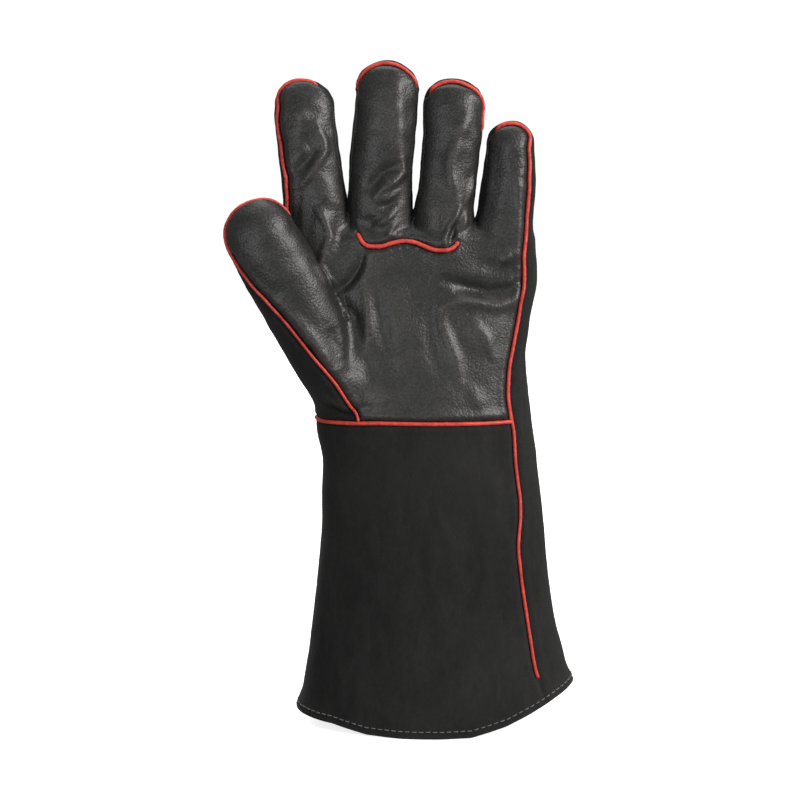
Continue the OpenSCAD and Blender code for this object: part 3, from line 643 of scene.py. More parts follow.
def seams(P, N, where):
    """How the leather dips into its seams and puckers beside them."""
    x, y, z = P.T
    out = np.zeros(len(P))
    if where == "thumb":
        Q = local(P)
        ds = np.abs(g_thumb(Q))
        along = Q[:, 2]
        piped = np.ones(len(P))
    else:
        above = z > WRIST_Z(x)
        gb, ga = g_body(P), g_above(P)
        ds = np.abs(np.where(above, ga, gb))
        along = z.copy()
        k = slot_of(x, z)
        cx = np.array([-49.0, -11, 24, 54.5])[k]
        # plain seams are finer than piped ones
        left_side = x < cx
        tips = z > np.array([330, 341, 338, 318])[k]
        plain = (z > 262) & ~tips & ~((k == 0) & left_side) & ~((k == 3) & ~left_side) \
            & ~((k == 2) & ~left_side & (z > 322))
        piped = np.where(plain, 0.45, 1.0)
        # nothing is sewn across the open side of the cuff's lower end
        dw = np.abs(z - WRIST_Z(x)) + np.where((gb < 0.5) & (z < 200), 0, 99)
        base = np.abs(z - BASE_X(x)) * 0.9 + np.where((y < -5) & (x > -25) & (x < 28.5), 0, 99)
        other = np.minimum(dw, base)
        along = np.where(other < ds, x, along)
        piped = np.where(other < ds, 1.0, piped)
        ds = np.minimum(ds, other)
        over = (z - WRIST_Z(x) - 4.6) / 2.4
        out += 0.55 * np.where((ga < -1) & (z < 200), np.exp(-over ** 2), 0)
    out -= 1.35 * piped * np.exp(-(ds / 1.45) ** 2)
    out += 0.42 * piped * np.exp(-((ds - 3.6) / 1.5) ** 2)
    pucker = np.sin(along * 2 * math.pi / 5.3 + 1.3 * np.sin(along * 0.31)) \
        * (0.6 + 0.4 * np.sin(along * 0.13 + 1))
    soft = np.where(z < 166, 0.5, 1.0)
    out += 0.13 * piped * soft * pucker * np.exp(-((ds - 2.8) / 1.8) ** 2)
    return out


# -------------------------------------------------------------------- objects
def new_mesh(name, P, faces, mat, loop_normals=None, attrs=None):
    """P in mm; faces a list of arrays of triangles or quads."""
    me = bpy.data.meshes.new(name)
    me.vertices.add(len(P))
    me.vertices.foreach_set("co", (np.asarray(P) * MM).astype(np.float32).ravel())
    total = np.concatenate([np.full(len(f), f.shape[1], np.int32) for f in faces])
    loops = np.concatenate([f.ravel() for f in faces]).astype(np.int32)
    me.loops.add(len(loops))
    me.loops.foreach_set("vertex_index", loops)
    me.polygons.add(len(total))
    start = np.zeros(len(total), np.int32)
    start[1:] = np.cumsum(total)[:-1]
    me.polygons.foreach_set("loop_start", start)
    me.polygons.foreach_set("use_smooth", np.ones(len(total), bool))
    me.update(calc_edges=True)
    for key, value in (attrs or {}).items():
        a = me.attributes.new(key, "FLOAT", "POINT")
        a.data.foreach_set("value", np.asarray(value, np.float32))
    if loop_normals is not None:
        me.normals_split_custom_set(loop_normals.astype(np.float32).tolist())
    me.materials.append(mat)
    ob = bpy.data.objects.new(name, me)
    bpy.context.scene.collection.objects.link(ob)
    return ob


def shell(name, P, N, T, mat, thick, attrs=None, mat_in=None):
    """A closed leather panel: the outer face, an inner face and the cut edges."""
    used, inv = np.unique(T, return_inverse=True)
    T = inv.reshape(T.shape)
    O, M = P[used], N[used]
    n = len(O)
    E = np.vstack([T[:, [0, 1]], T[:, [1, 2]], T[:, [2, 0]]])
    key = E[:, 0] * n + E[:, 1]
    rev = E[:, 1] * n + E[:, 0]
    B = E[~np.isin(key, rev)]
    I = O - M * thick
    walls = np.stack([B[:, 1], B[:, 0], B[:, 0] + n, B[:, 1] + n], 1)
    V = np.vstack([O, I])
    wn = unit(np.cross(V[walls[:, 1]] - V[walls[:, 0]], V[walls[:, 3]] - V[walls[:, 0]]))
    TI = T[:, ::-1] + n
    ln = np.vstack([M[T.ravel()], -M[(TI - n).ravel()], np.repeat(wn, 4, 0)])
    at = {k: np.concatenate([v[used], v[used]]) for k, v in (attrs or {}).items()}
    return new_mesh(name, V, [T, TI, walls], mat, ln, at)


def smooth_line(pts, stepmm=0.8, rounds=6):
    """The polyline with even short steps."""
    pts = np.asarray(pts, float)
    d = np.concatenate([[0], np.cumsum(np.linalg.norm(np.diff(pts, axis=0), axis=1))])
    n = max(int(d[-1] / stepmm), 4)
    q = np.linspace(0, d[-1], n + 1)
    out = np.stack([np.interp(q, d, pts[:, i]) for i in range(3)], 1)
    for _ in range(rounds):
        out[1:-1] = 0.5 * out[1:-1] + 0.25 * (out[:-2] + out[2:])
    return out


def tube(name, pts, r, mat, round_start=True, round_end=True, sides=14, seed=1):
    """A piping cord through the points, with round or flat ends."""
    pts = np.asarray(pts, float)
    n = len(pts)
    t = unit(np.gradient(pts, axis=0))
    a = np.cross(t[0], [0.3, 0.2, 0.9])
    frames = []
    for i in range(n):
        a = unit(a - t[i] * (a @ t[i]))
        frames.append(a)
    A = np.array(frames)
    B = np.cross(t, A)
    run = np.concatenate([[0], np.cumsum(np.linalg.norm(np.diff(pts, axis=0), axis=1))])
    rr = np.full(n, float(r)) if np.isscalar(r) else np.asarray(r, float).copy()
    rr *= 1 + 0.03 * np.sin(run * 2 * math.pi / 3.1 + seed) + 0.02 * np.sin(run * 1.1 + seed)
    ang = np.arange(sides) * 2 * math.pi / sides
    ring = np.cos(ang)[None, :, None] * A[:, None] + np.sin(ang)[None, :, None] * B[:, None]
    rings = [pts[:, None] + rr[:, None, None] * ring]
    V = rings[0].reshape(-1, 3)
    rows = [np.arange(i * sides, (i + 1) * sides) for i in range(n)]
    extra = []
    base = len(V)

    def cap(i, sgn, rounded):
        nonlocal base
        new = []
        if rounded:
            for k in (0.35, 0.65, 0.88):
                R = pts[i] + sgn * t[i] * rr[i] * math.sin(k * math.pi / 2) \
                    + ring[i] * rr[i] * math.cos(k * math.pi / 2)
                extra.append(R)
                new.append(np.arange(base, base + sides))
                base += sides
        tip = pts[i] + (sgn * t[i] * rr[i] if rounded else 0)
        extra.append(tip[None])
        base += 1
        return new, base - 1

    s_rows, s_tip = cap(0, -1, round_start)
    e_rows, e_tip = cap(n - 1, 1, round_end)
    allrows = s_rows[::-1] + rows + e_rows
    quads = []
    for p, q in zip(allrows[:-1], allrows[1:]):
        quads.append(np.stack([p, np.roll(p, -1), np.roll(q, -1), q], 1))
    quads = np.vstack(quads)
    first, last = allrows[0], allrows[-1]
    tris = np.vstack([np.stack([np.roll(first, -1), first, np.full(sides, s_tip)], 1),
                      np.stack([last, np.roll(last, -1), np.full(sides, e_tip)], 1)])
    V = np.vstack([V] + extra)
    return new_mesh(name, V, [quads, tris], mat)


def part_of(pts, v, lo, hi):
    """The stretch of the polyline where v is between lo and hi, cut exactly."""
    out = []
    for i in range(len(pts)):
        if i:
            a, b = v[i - 1], v[i]
            for c in sorted((lo, hi), key=lambda c: abs(c - a)):
                if (a - c) * (b - c) < 0:
                    out.append(pts[i - 1] + (pts[i] - pts[i - 1]) * (c - a) / (b - a))
        if lo <= v[i] <= hi:
            out.append(pts[i])
    return np.array(out)


# ------------------------------------------------------------------ materials
def nodes_of(name):
    m = bpy.data.materials.new(name)
    m.use_nodes = True
    nt = m.node_tree
    return m, nt, nt.nodes["Principled BSDF"]


def ramp(nt, fac, stops):
    r = nt.nodes.new("ShaderNodeValToRGB")
    el = r.color_ramp.elements
    while len(el) < len(stops):
        el.new(0.5)
    for e, (p, c) in zip(el, stops):
        e.position = p
        e.color = (*c, 1) if hasattr(c, "__len__") else (c, c, c, 1)
    nt.links.new(fac, r.inputs["Fac"])
    return r.outputs["Color"]


def mixc(nt, fac, a, b, mode="MIX"):
    m = nt.nodes.new("ShaderNodeMix")
    m.data_type = "RGBA"
    m.blend_type = mode
    ins = [m.inputs[0], m.inputs[6], m.inputs[7]]
    for sock, v in zip(ins, (fac, a, b)):
        if isinstance(v, bpy.types.NodeSocket):
            nt.links.new(v, sock)
        elif hasattr(v, "__len__"):
            sock.default_value = (*v, 1)
        else:
            sock.default_value = v if sock.type != "RGBA" else (v, v, v, 1)
    return m.outputs[2]


def mathn(nt, op, a, b=0.0, c=None):
    m = nt.nodes.new("ShaderNodeMath")
    m.operation = op
    for sock, v in zip(m.inputs, (a, b, c)):
        if v is None:
            continue
        if isinstance(v, bpy.types.NodeSocket):
            nt.links.new(v, sock)
        else:
            sock.default_value = v
    return m.outputs[0]


def noise(nt, vec, scale, detail=2.0, rough=0.5, dist=0.0):
    n = nt.nodes.new("ShaderNodeTexNoise")
    n.inputs["Scale"].default_value = scale
    n.inputs["Detail"].default_value = detail
    n.inputs["Roughness"].default_value = rough
    n.inputs["Distortion"].default_value = dist
    nt.links.new(vec, n.inputs["Vector"])
    return n.outputs["Fac"]


def cells(nt, vec, scale, feature="F1", smooth=0.4, rnd=1.0):
    n = nt.nodes.new("ShaderNodeTexVoronoi")
    n.feature = feature
    n.inputs["Scale"].default_value = scale
    n.inputs["Randomness"].default_value = rnd
    if feature == "SMOOTH_F1":
        n.inputs["Smoothness"].default_value = smooth
    nt.links.new(vec, n.inputs["Vector"])
    return n.outputs["Distance"]


def bump(nt, height, dist, strength=1.0, after=None):
    b = nt.nodes.new("ShaderNodeBump")
    b.inputs["Strength"].default_value = strength
    b.inputs["Distance"].default_value = dist
    nt.links.new(height, b.inputs["Height"])
    if after is not None:
        nt.links.new(after, b.inputs["Normal"])
    return b.outputs["Normal"]


def position(nt):
    return nt.nodes.new("ShaderNodeTexCoord").outputs["Object"]


def stretched(nt, vec, scale):
    m = nt.nodes.new("ShaderNodeMapping")
    m.inputs["Scale"].default_value = scale
    nt.links.new(vec, m.inputs["Vector"])
    return m.outputs["Vector"]


# the relief attribute: the leather is made lighter where it is high, partly as rubbed wear and partly as a
# painted highlight
def relief(nt):
    a = nt.nodes.new("ShaderNodeAttribute")
    a.attribute_name = "relief"
    return a.outputs["Fac"]


def grain_leather():
    m, nt, b = nodes_of("grain_leather")
    p = position(nt)
    pebble = cells(nt, p, 780, "SMOOTH_F1", 0.3)
    pebble2 = cells(nt, p, 1450, "F1")
    fine = noise(nt, p, 2600, 3)
    big = noise(nt, p, 30, 4, 0.6)
    mid = noise(nt, p, 150, 3)
    wrinkle = noise(nt, stretched(nt, p, (1, 1, 1.6)), 210, 2, 0.5)
    rel = relief(nt)
    tone = mathn(nt, "ADD", mathn(nt, "MULTIPLY", big, 0.7), mathn(nt, "MULTIPLY", mid, 0.3))
    base = ramp(nt, tone, [(0.3, (0.0165, 0.0162, 0.0159)), (0.7, (0.0250, 0.0245, 0.0239))])
    # lighter on the fold ridges and the ridges beside the seams: partly rubbed wear, partly a painted highlight
    # where the raised leather catches the light
    ridge_wear_and_highlight = ramp(nt, rel, [(0.42, 0.0), (0.9, 1.0)])
    base = mixc(nt, mathn(nt, "MULTIPLY", ridge_wear_and_highlight, 0.65), base, (0.060, 0.0565, 0.052))
    pit = ramp(nt, pebble, [(0.30, 1.0), (0.75, 0.45)])
    base = mixc(nt, 0.75, base, pit, "MULTIPLY")
    nt.links.new(base, b.inputs["Base Color"])
    rough = mathn(nt, "ADD", mathn(nt, "MULTIPLY", mid, 0.12), mathn(nt, "MULTIPLY", big, 0.16))
    rough = mathn(nt, "ADD", rough, 0.295)
    nt.links.new(rough, b.inputs["Roughness"])
    b.inputs["Specular IOR Level"].default_value = 0.55
    h = mathn(nt, "ADD", mathn(nt, "MULTIPLY", pebble, -0.9), mathn(nt, "MULTIPLY", pebble2, -0.3))
    h = mathn(nt, "ADD", h, mathn(nt, "MULTIPLY", fine, 0.12))
    n1 = bump(nt, wrinkle, 0.0005, 0.25)
    nt.links.new(bump(nt, h, 0.00030, 0.55, n1), b.inputs["Normal"])
    return m


def suede():
    m, nt, b = nodes_of("suede")
    p = position(nt)
    nap = noise(nt, stretched(nt, p, (1, 1, 0.45)), 1500, 4, 0.7)
    tuft = noise(nt, stretched(nt, p, (1, 1, 0.6)), 420, 4, 0.65, 0.6)
    cloud = noise(nt, stretched(nt, p, (1, 1, 0.7)), 22, 5, 0.6, 0.4)
    brushed = noise(nt, stretched(nt, p, (1.6, 1.6, 0.5)), 75, 3, 0.55, 0.8)
    rel = relief(nt)
    tone = mathn(nt, "ADD", mathn(nt, "MULTIPLY", cloud, 0.45), mathn(nt, "MULTIPLY", brushed, 0.30))
    tone = mathn(nt, "ADD", tone, mathn(nt, "MULTIPLY", tuft, 0.25))
    base = ramp(nt, tone, [(0.33, (0.0100, 0.0099, 0.0098)), (0.66, (0.0280, 0.0277, 0.0273))])
    # the suede lighter on the fold ridges and beside the seams: partly rubbed wear, partly a painted highlight on
    # the raised nap
    ridge_wear_and_highlight = ramp(nt, rel, [(0.45, 0.0), (0.95, 1.0)])
    base = mixc(nt, mathn(nt, "MULTIPLY", ridge_wear_and_highlight, 0.45), base, (0.032, 0.0315, 0.031))
    base = mixc(nt, 0.55, base, ramp(nt, nap, [(0.3, 0.55), (0.7, 1.0)]), "MULTIPLY")
    nt.links.new(base, b.inputs["Base Color"])
    nt.links.new(mathn(nt, "ADD", mathn(nt, "MULTIPLY", tuft, 0.1), 0.86), b.inputs["Roughness"])
    b.inputs["Specular IOR Level"].default_value = 0.2
    b.inputs["Sheen Weight"].default_value = 0.05
    b.inputs["Sheen Roughness"].default_value = 0.5
    b.inputs["Sheen Tint"].default_value = (0.75, 0.74, 0.73, 1)
    h = mathn(nt, "ADD", mathn(nt, "MULTIPLY", nap, 0.8), mathn(nt, "MULTIPLY", tuft, 0.9))
    nt.links.new(bump(nt, h, 0.00045, 0.75), b.inputs["Normal"])
    return m


def cut_hide():
    m, nt, b = nodes_of("piping")
    p = position(nt)
    mottle = noise(nt, p, 260, 4, 0.6)
    fine = noise(nt, p, 2400, 3)
    crease = cells(nt, stretched(nt, p, (1, 1, 1)), 620, "F1")
    base = ramp(nt, mottle, [(0.3, (0.50, 0.036, 0.025)), (0.7, (0.84, 0.084, 0.058))])
    base = mixc(nt, 0.5, base, ramp(nt, crease, [(0.1, 1.0), (0.9, 0.62)]), "MULTIPLY")
    nt.links.new(base, b.inputs["Base Color"])
    nt.links.new(mathn(nt, "ADD", mathn(nt, "MULTIPLY", mottle, 0.2), 0.38), b.inputs["Roughness"])
    h = mathn(nt, "ADD", mathn(nt, "MULTIPLY", crease, -0.6), mathn(nt, "MULTIPLY", fine, 0.3))
    nt.links.new(bump(nt, h, 0.0002, 0.6), b.inputs["Normal"])
    return m


def fleece():
    m, nt, b = nodes_of("lining")
    p = position(nt)
    curl = cells(nt, p, 900, "SMOOTH_F1", 0.6)
    soft = noise(nt, p, 350, 5, 0.7, 1.2)
    base = ramp(nt, soft, [(0.3, (0.11, 0.108, 0.104)), (0.7, (0.21, 0.206, 0.20))])
    base = mixc(nt, 0.6, base, ramp(nt, curl, [(0.2, 1.0), (0.8, 0.55)]), "MULTIPLY")
    nt.links.new(base, b.inputs["Base Color"])
    nt.links.new(mathn(nt, "ADD", mathn(nt, "MULTIPLY", soft, 0.08), 0.9), b.inputs["Roughness"])
    b.inputs["Sheen Weight"].default_value = 0.25
    h = mathn(nt, "ADD", mathn(nt, "MULTIPLY", curl, -0.8), mathn(nt, "MULTIPLY", soft, 0.9))
    nt.links.new(bump(nt, h, 0.0009, 0.8), b.inputs["Normal"])
    return m


def yarn():
    m, nt, b = nodes_of("thread")
    p = position(nt)
    ply = noise(nt, p, 2200, 2)
    base = ramp(nt, ply, [(0.3, (0.085, 0.085, 0.084)), (0.7, (0.20, 0.20, 0.197))])
    nt.links.new(base, b.inputs["Base Color"])
    nt.links.new(mathn(nt, "ADD", mathn(nt, "MULTIPLY", ply, 0.2), 0.55), b.inputs["Roughness"])
    nt.links.new(bump(nt, ply, 0.0002, 0.6), b.inputs["Normal"])
    return m


GRAIN, SUEDE, PIPING, LINING, THREAD = grain_leather(), suede(), cut_hide(), fleece(), yarn()


# ----------------------------------------------------------- putting together
def z_blend(ob, a, b, lo, hi):
    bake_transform(ob)


def s_blend(ob, a, b, lo, hi):
    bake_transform(ob)


def bind(ob, where):
    """Bakes the piece's transform into its mesh: where is wrist, FINGER_lower or FINGER_upper."""
    if where == "wrist":
        z_blend(ob, "cuff", "hand", *WRIST)
    elif where == "thumb_lower":
        s_blend(ob, "hand", "thumb_lower", *TH_BASE)
    elif where == "thumb_upper":
        s_blend(ob, "thumb_lower", "thumb_upper", *TH_MID)
    else:
        f, part = where.rsplit("_", 1)
        if part == "lower":
            z_blend(ob, "hand", f + "_lower", *BASE[f])
        else:
            z_blend(ob, f + "_lower", f + "_upper", *MID[f])


def cut_hand(P, T, hem_lift):
    """Cuts the hand's mesh into panels. Returns the points and {panel: triangles}."""
    P, T, fr, side = split(P, T, P[:, 2] - hem_at(P) - hem_lift)
    T = T[side > 0]
    P, T, fr, side = split(P, T, P[:, 2] - WRIST_Z(P[:, 0]))
    up = side > 0
    g = np.where(np.ones(len(P), bool), g_body(P), 0)
    P, T, fr, side = split(P, T, g, ~up)
    up, back = up[fr], side > 0
    P, T, fr, side = split(P, T, g_above(P), up)
    back = np.where(up[fr], side > 0, back[fr])
    up = up[fr]
    slot = np.zeros(len(T), int)
    for i in range(3):
        P, T, fr, side = split(P, T, P[:, 0] - wall_at(i, P[:, 2]), up)
        up, back, slot = up[fr], back[fr], slot[fr] + (side > 0)
    level = np.zeros(len(T), int)
    for k in range(4):
        x, y, z = P.T
        zr = np.full(len(P), ROOT_Z)
        if k in (1, 2):
            w = step(-y, -2, 4)
            zr = BASE_X(x) * w + ROOT_Z * (1 - w)
        P, T, fr, side = split(P, T, z - zr, up & (slot == k))
        up, back, slot, level = up[fr], back[fr], slot[fr], level[fr]
        level = np.where(up & (slot == k) & (side > 0), 1, level)
        P, T, fr, side = split(P, T, P[:, 2] - CUT[FINGER[k]], up & (slot == k) & (level == 1))
        up, back, slot, level = up[fr], back[fr], slot[fr], level[fr]
        level = np.where(up & (slot == k) & (level == 1) & (side > 0), 2, level)
    out = {}
    out["cuff_front"] = T[~up & ~back]
    out["back"] = T[(~up & back) | (up & back & (level == 0))]
    out["palm"] = T[up & ~back & (level == 0)]
    for k in range(4):
        for lv, nm in ((1, "lower"), (2, "upper")):
            m = up & (slot == k) & (level == lv)
            out[f"{FINGER[k]}_{nm}_front"] = T[m & ~back]
            out[f"{FINGER[k]}_{nm}_back"] = T[m & back]
    return P, out


def cut_thumb(P, T):
    P, T, fr, side = split(P, T, local(P)[:, 2] - SC)
    T = T[side > 0]
    P, T, fr, side = split(P, T, local(P)[:, 2] - TH_CUT)
    up = side > 0
    P, T, fr, side = split(P, T, g_thumb(local(P)))
    up, back = up[fr], side > 0
    return P, {"thumb_lower_front": T[~up & ~back], "thumb_lower_back": T[~up & back],
               "thumb_upper_front": T[up & ~back], "thumb_upper_back": T[up & back]}


def snap(F, P):
    G = gradient(F, P)
    return P - (F(P) / np.maximum((G * G).sum(1), 0.05))[:, None] * G


def dress(F, P, panels, where):
    """Lays the folds and seams on the plain surface."""
    P = snap(F, P)
    N = unit(gradient(F, P))
    f = folds(P, N)
    d = f + seams(P, N, where)
    if where == "thumb":
        s = local(P)[:, 2]
        d = np.where(f_palm(P) < -1.0, np.minimum(d, 0), d)   # inside the hand
    D = P + N * d[:, None]
    used = np.vstack([t for t in panels.values() if len(t)])
    M = vertex_normals(D, used)
    # relief rises on fold ridges and on the ridges beside the seams and falls in the seam dips; the materials
    # lighten the leather with it, partly as rubbed wear and partly as a painted highlight
    rel = np.clip(0.42 + 0.34 * f + 0.10 * np.clip(d - f, -1, 0.6), 0, 1)
    return D, M, rel, P + N * f[:, None]


H_STEP = 1.2
LO, HI = (-101, -50, -7), (99, 50, 366)
PH, TH = surface(f_hand, LO, HI, H_STEP)
PH, HAND = cut_hand(PH, TH, 1.7)
DH, NHN, RH, BH = dress(f_hand, PH, HAND, "hand")

T_LO, T_HI = (-101, -52, 196), (-16, 12, 300)
PT, TT = surface(f_own_thumb, T_LO, T_HI, H_STEP)
PT, THUMB_P = cut_thumb(PT, TT)
DT, NT, RT, BT = dress(f_own_thumb, PT, THUMB_P, "thumb")

BIND = {"cuff_front": "wrist", "back": "wrist", "palm": "wrist"}
NAMES = {"cuff_front": "cuff_palm_side_leather", "back": "back_and_cuff_leather", "palm": "palm_leather"}
STANDS = {"cuff_front": ["cuff_front_panel"], "back": ["cuff_back_panel", "hand_back_panel"],
          "palm": ["palm_panel"]}
for panels, D, M, R in ((HAND, DH, NHN, RH), (THUMB_P, DT, NT, RT)):
    for key, T in panels.items():
        front = key.endswith("front") and key != "cuff_front" or key == "palm"
        ob = shell(NAMES.get(key, key + "_leather"), D, M, T, GRAIN if front else SUEDE,
                   LEATHER, {"relief": R})
        bind(ob, BIND.get(key, key.rsplit("_", 1)[0]))
        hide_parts(*STANDS.get(key, [key]))


# ------------------------------------------------------------------- piping
def border(P, A, B):
    """The lines of edges that the two sets of triangles share, the longest first."""
    def keys(T):
        E = np.sort(np.vstack([T[:, [0, 1]], T[:, [1, 2]], T[:, [2, 0]]]), 1)
        return np.unique(E[:, 0].astype(np.int64) * 10 ** 8 + E[:, 1])
    k = np.intersect1d(keys(np.vstack(A)), keys(np.vstack(B)))
    near = {}
    for a, b in zip((k // 10 ** 8).tolist(), (k % 10 ** 8).tolist()):
        near.setdefault(a, []).append(b)
        near.setdefault(b, []).append(a)
    seen, out = set(), []
    for start in sorted(near, key=lambda v: (len(near[v]) != 1, v)):
        if start in seen:
            continue
        line, v = [start], start
        seen.add(start)
        while True:
            go = [u for u in near[v] if u not in seen]
            if not go:
                break
            v = go[0]
            seen.add(v)
            line.append(v)
        out.append(P[line])
    return sorted(out, key=lambda q: -len(q))


def joined(lines, gap=4.0):
    """The longest line, with the other lines that carry on from its ends."""
    line, rest = lines[0], [q for q in lines[1:] if len(q) > 5]
    while True:
        near = []
        for i, q in enumerate(rest):
            for r in (q, q[::-1]):
                near.append((np.linalg.norm(r[0] - line[-1]), i, 0, r))
                near.append((np.linalg.norm(r[-1] - line[0]), i, 1, r))
        near = [t for t in near if t[0] < gap]
        if not near:
            return line
        _, i, before, r = min(near, key=lambda t: t[:3])
        line = np.vstack([r, line] if before else [line, r])
        rest.pop(i)


def cord_run(name, pts, where, node, sunk=None, r=0.98, ends=(False, False), seed=1):
    """A piping cord along finished points; sunk is 0 to 1 along them, 1 inside the seam."""
    pts = np.asarray(pts)
    keep = np.concatenate([[True], np.linalg.norm(np.diff(pts, axis=0), axis=1) > 0.03])
    pts = pts[keep]
    rr = np.full(len(pts), float(r)) if np.isscalar(r) else r[keep]
    if sunk is not None:
        rr = rr * (1 - 0.42 * sunk[keep])
    ob = tube(name, pts, rr, PIPING, ends[0], ends[1], seed=seed)
    bind(ob, where)
    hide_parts(node)
    return ob


def lower(F, H, sunk):
    """Moves points into the seam by up to 1.8 mm."""
    N = unit(gradient(F, H))
    deep = 1.2 * (1 - step(H[:, 2], 284, 298)) * (H[:, 2] > 266)
    return H - N * ((1.8 + deep) * sunk)[:, None]


def cut_run(H, v, lo, hi, sunk=None):
    """The run of points with v in lo..hi, with its ends cut exactly, and sunk there."""
    Q = H if sunk is None else np.column_stack([H, sunk])
    out = part_of(Q, v, lo, hi)
    return (out[:, :3], out[:, 3]) if sunk is not None else (out, None)


FRONTS = [t for k, t in HAND.items() if k in ("cuff_front", "palm") or k.endswith("_front")]
BACKS = [t for k, t in HAND.items() if k == "back" or k.endswith("_back")]
line = joined(border(BH, FRONTS, BACKS))
if line[0, 0] < 0:
    line = line[::-1]
# the line starts at the hem on the little finger's side and ends at the hem on the other
low = (line[1:, 2] > 264) & (line[1:, 2] < 300)
past = [line[:, 0] - wall_at(i, line[:, 2]) for i in range(3)]
cross = [int(np.flatnonzero((p[1:] * p[:-1] <= 0) & low)[0]) + 1 for p in past]
ends = [cross[0], cross[1], cross[2], int(np.flatnonzero(line[:, 2] > 30.5)[0])]
stops = [int(np.flatnonzero(line[:, 2] > ROOT_Z - 0.01)[-1]), cross[0], cross[1], cross[2]]


def sunk_at(k, H):
    """1 where the finger's piping lies inside its seam, 0 where it shows."""
    z, left = H[:, 2], H[:, 0] < L_FING[k].at(np.array([L_FING[k].z1]))[0][0]
    if k == 0:
        return np.where(left, 0, 1 - step(z, 343.5, 346))
    if k == 1:
        return 1 - np.where(left, step(z, 340, 344.5), step(z, 341, 345.5))
    if k == 2:
        return 1 - np.where(left, step(z, 339, 343), step(z, 317, 323))
    return np.where(left, 1 - step(z, 320.5, 323), 0)


for k, f in enumerate(FINGER):
    loop = smooth_line(line[ends[k]:stops[k] + 1], 0.7, 6)
    s = sunk_at(k, loop)
    s[loop[:, 2] < ROOT_Z] = 0
    H = lower(f_palm, loop, s)
    top = int(np.argmax(H[:, 2]))
    for side, a, b in (("right", 0, top + 1), ("left", top, len(H))):
        part, sk = cut_run(H[a:b], H[a:b, 2], ROOT_Z, CUT[f], s[a:b])
        cord_run(f"{f}_lower_{side}_piping", part, f + "_lower", f + "_lower_piping", sk, seed=k)
    part, sk = cut_run(H, H[:, 2], CUT[f], 999, s)
    cord_run(f"{f}_upper_piping", part, f + "_upper", f + "_upper_piping", sk, seed=k)
    if k == 3:
        part, _ = cut_run(H[:top], H[:top, 2], 168.9, ROOT_Z)
        cord_run("hand_side_piping", part, "wrist", "hand_side_piping", seed=5)
        part, _ = cut_run(H[:top], H[:top, 2], 0, 168.9)
        cord_run("cuff_side_piping", part, "wrist", "cuff_side_piping", r=0.9, seed=6, ends=(True, False))

# the index finger's welt goes on behind the thumb, down the side of the hand
rest = line[stops[0]:]
away = np.flatnonzero((rest[:, 2] < 237) | (local(rest)[:, 2] > -2) & (rest[:, 2] < 250))
part = smooth_line(rest[:away[0]] if len(away) else rest, 0.7, 6)
cord_run("index_side_piping", part, "wrist", "index_side_piping", seed=7, ends=(False, True))

# the thumb's chain, up its outer seam, over the tip and down the inner one
line = border(BT, [THUMB_P["thumb_lower_front"], THUMB_P["thumb_upper_front"]],
              [THUMB_P["thumb_lower_back"], THUMB_P["thumb_upper_back"]])[0]
if local(line[:1])[0, 0] > local(line[-1:])[0, 0]:
    line = line[::-1]
H = smooth_line(line, 0.7, 6)
sv = local(H)[:, 2]
top = int(np.argmax(sv))
sk = np.where(np.arange(len(H)) > top, 1 - step(sv, 53, 59), 0)
H = lower(f_own_thumb, H, sk)
THUMB_CHAIN = H, sv, top, sk
THUMB_START = part_of(H[:top], sv[:top], SC, 999)[0]

# from the wrist up the thumb's outer seam to where the thumb's own leather starts
on_out, side_, along_, run_ = polyline_distance(rest[:, 0], rest[:, 2], THUMB_OUT)
m = (on_out < 0.4) & (rest[:, 1] < 4) & (rest[:, 2] > WRIST_Z(rest[:, 0]) + 1.2) & (rest[:, 2] < 240)
root = smooth_line(rest[m][::-1], 0.7, 6)
part, _ = cut_run(root, local(root)[:, 2], -999, SC)
part = part + (THUMB_START - part[-1]) * step(local(part)[:, 2], SC - 20, SC)[:, None]
cord_run("thumb_root_piping", part, "wrist", "thumb_root_piping", r=0.78, seed=8, ends=(True, False))

# down the cuff on the thumb side
line = np.vstack(border(BH, [HAND["cuff_front"]], [HAND["back"]]))
line = line[np.argsort(line[:, 2])]
m = (line[:, 0] < 0) & (np.abs(line[:, 1] - LEFT_Y(line[:, 2])) < 1) & (line[:, 2] < 167.6) & (line[:, 2] > 6)
part = smooth_line(line[m], 0.7, 8)
cord_run("cuff_thumb_side_piping", part, "wrist", "cuff_thumb_side_piping", seed=9, ends=(True, True))

# across the wrist, on the palm side, its left end wrapped a little round the side
lines = border(BH, [HAND["cuff_front"]], [HAND["palm"], HAND["back"]])
line = np.vstack(lines)
line = line[np.argsort(line[:, 0])]
m = np.abs(line[:, 2] - WRIST_Z(line[:, 0])) < 0.5
part = line[m]
if part[0, 0] > part[-1, 0]:
    part = part[::-1]
part = smooth_line(part[part[:, 0] < SIDE_X(169) + 0.1], 0.7, 6)
cord_run("wrist_piping", part, "wrist", "wrist_piping", r=1.06, seed=10, ends=(True, False))

# across the bases of the middle and the ring finger
line = np.vstack(border(BH, [HAND["palm"]], [HAND["middle_lower_front"], HAND["ring_lower_front"]]))
line = line[np.argsort(line[:, 0])]
m = (line[:, 0] > -24.2) & (line[:, 0] < 27.9) & (line[:, 1] < -5)
part = smooth_line(line[m], 0.7, 5)
cord_run("finger_base_piping", part, "wrist", "finger_base_piping", r=1.12, seed=11, ends=(True, True))

# round the thumb
H, sv, top, sk = THUMB_CHAIN
for side, a, b in (("outer", 0, top + 1), ("inner", top, len(H))):
    part, k_ = cut_run(H[a:b], sv[a:b], SC, TH_CUT, sk[a:b])
    cord_run(f"thumb_lower_{side}_piping", part, "thumb_lower", "thumb_lower_piping", k_, r=0.78, seed=12)
part, k_ = cut_run(H, sv, TH_CUT, 999, sk)
wide = np.full(len(part), 0.78) + 0.2 * step(local(part)[:, 2], 30, 50)
cord_run("thumb_upper_piping", part, "thumb_upper", "thumb_upper_piping", k_, r=wide, seed=13)


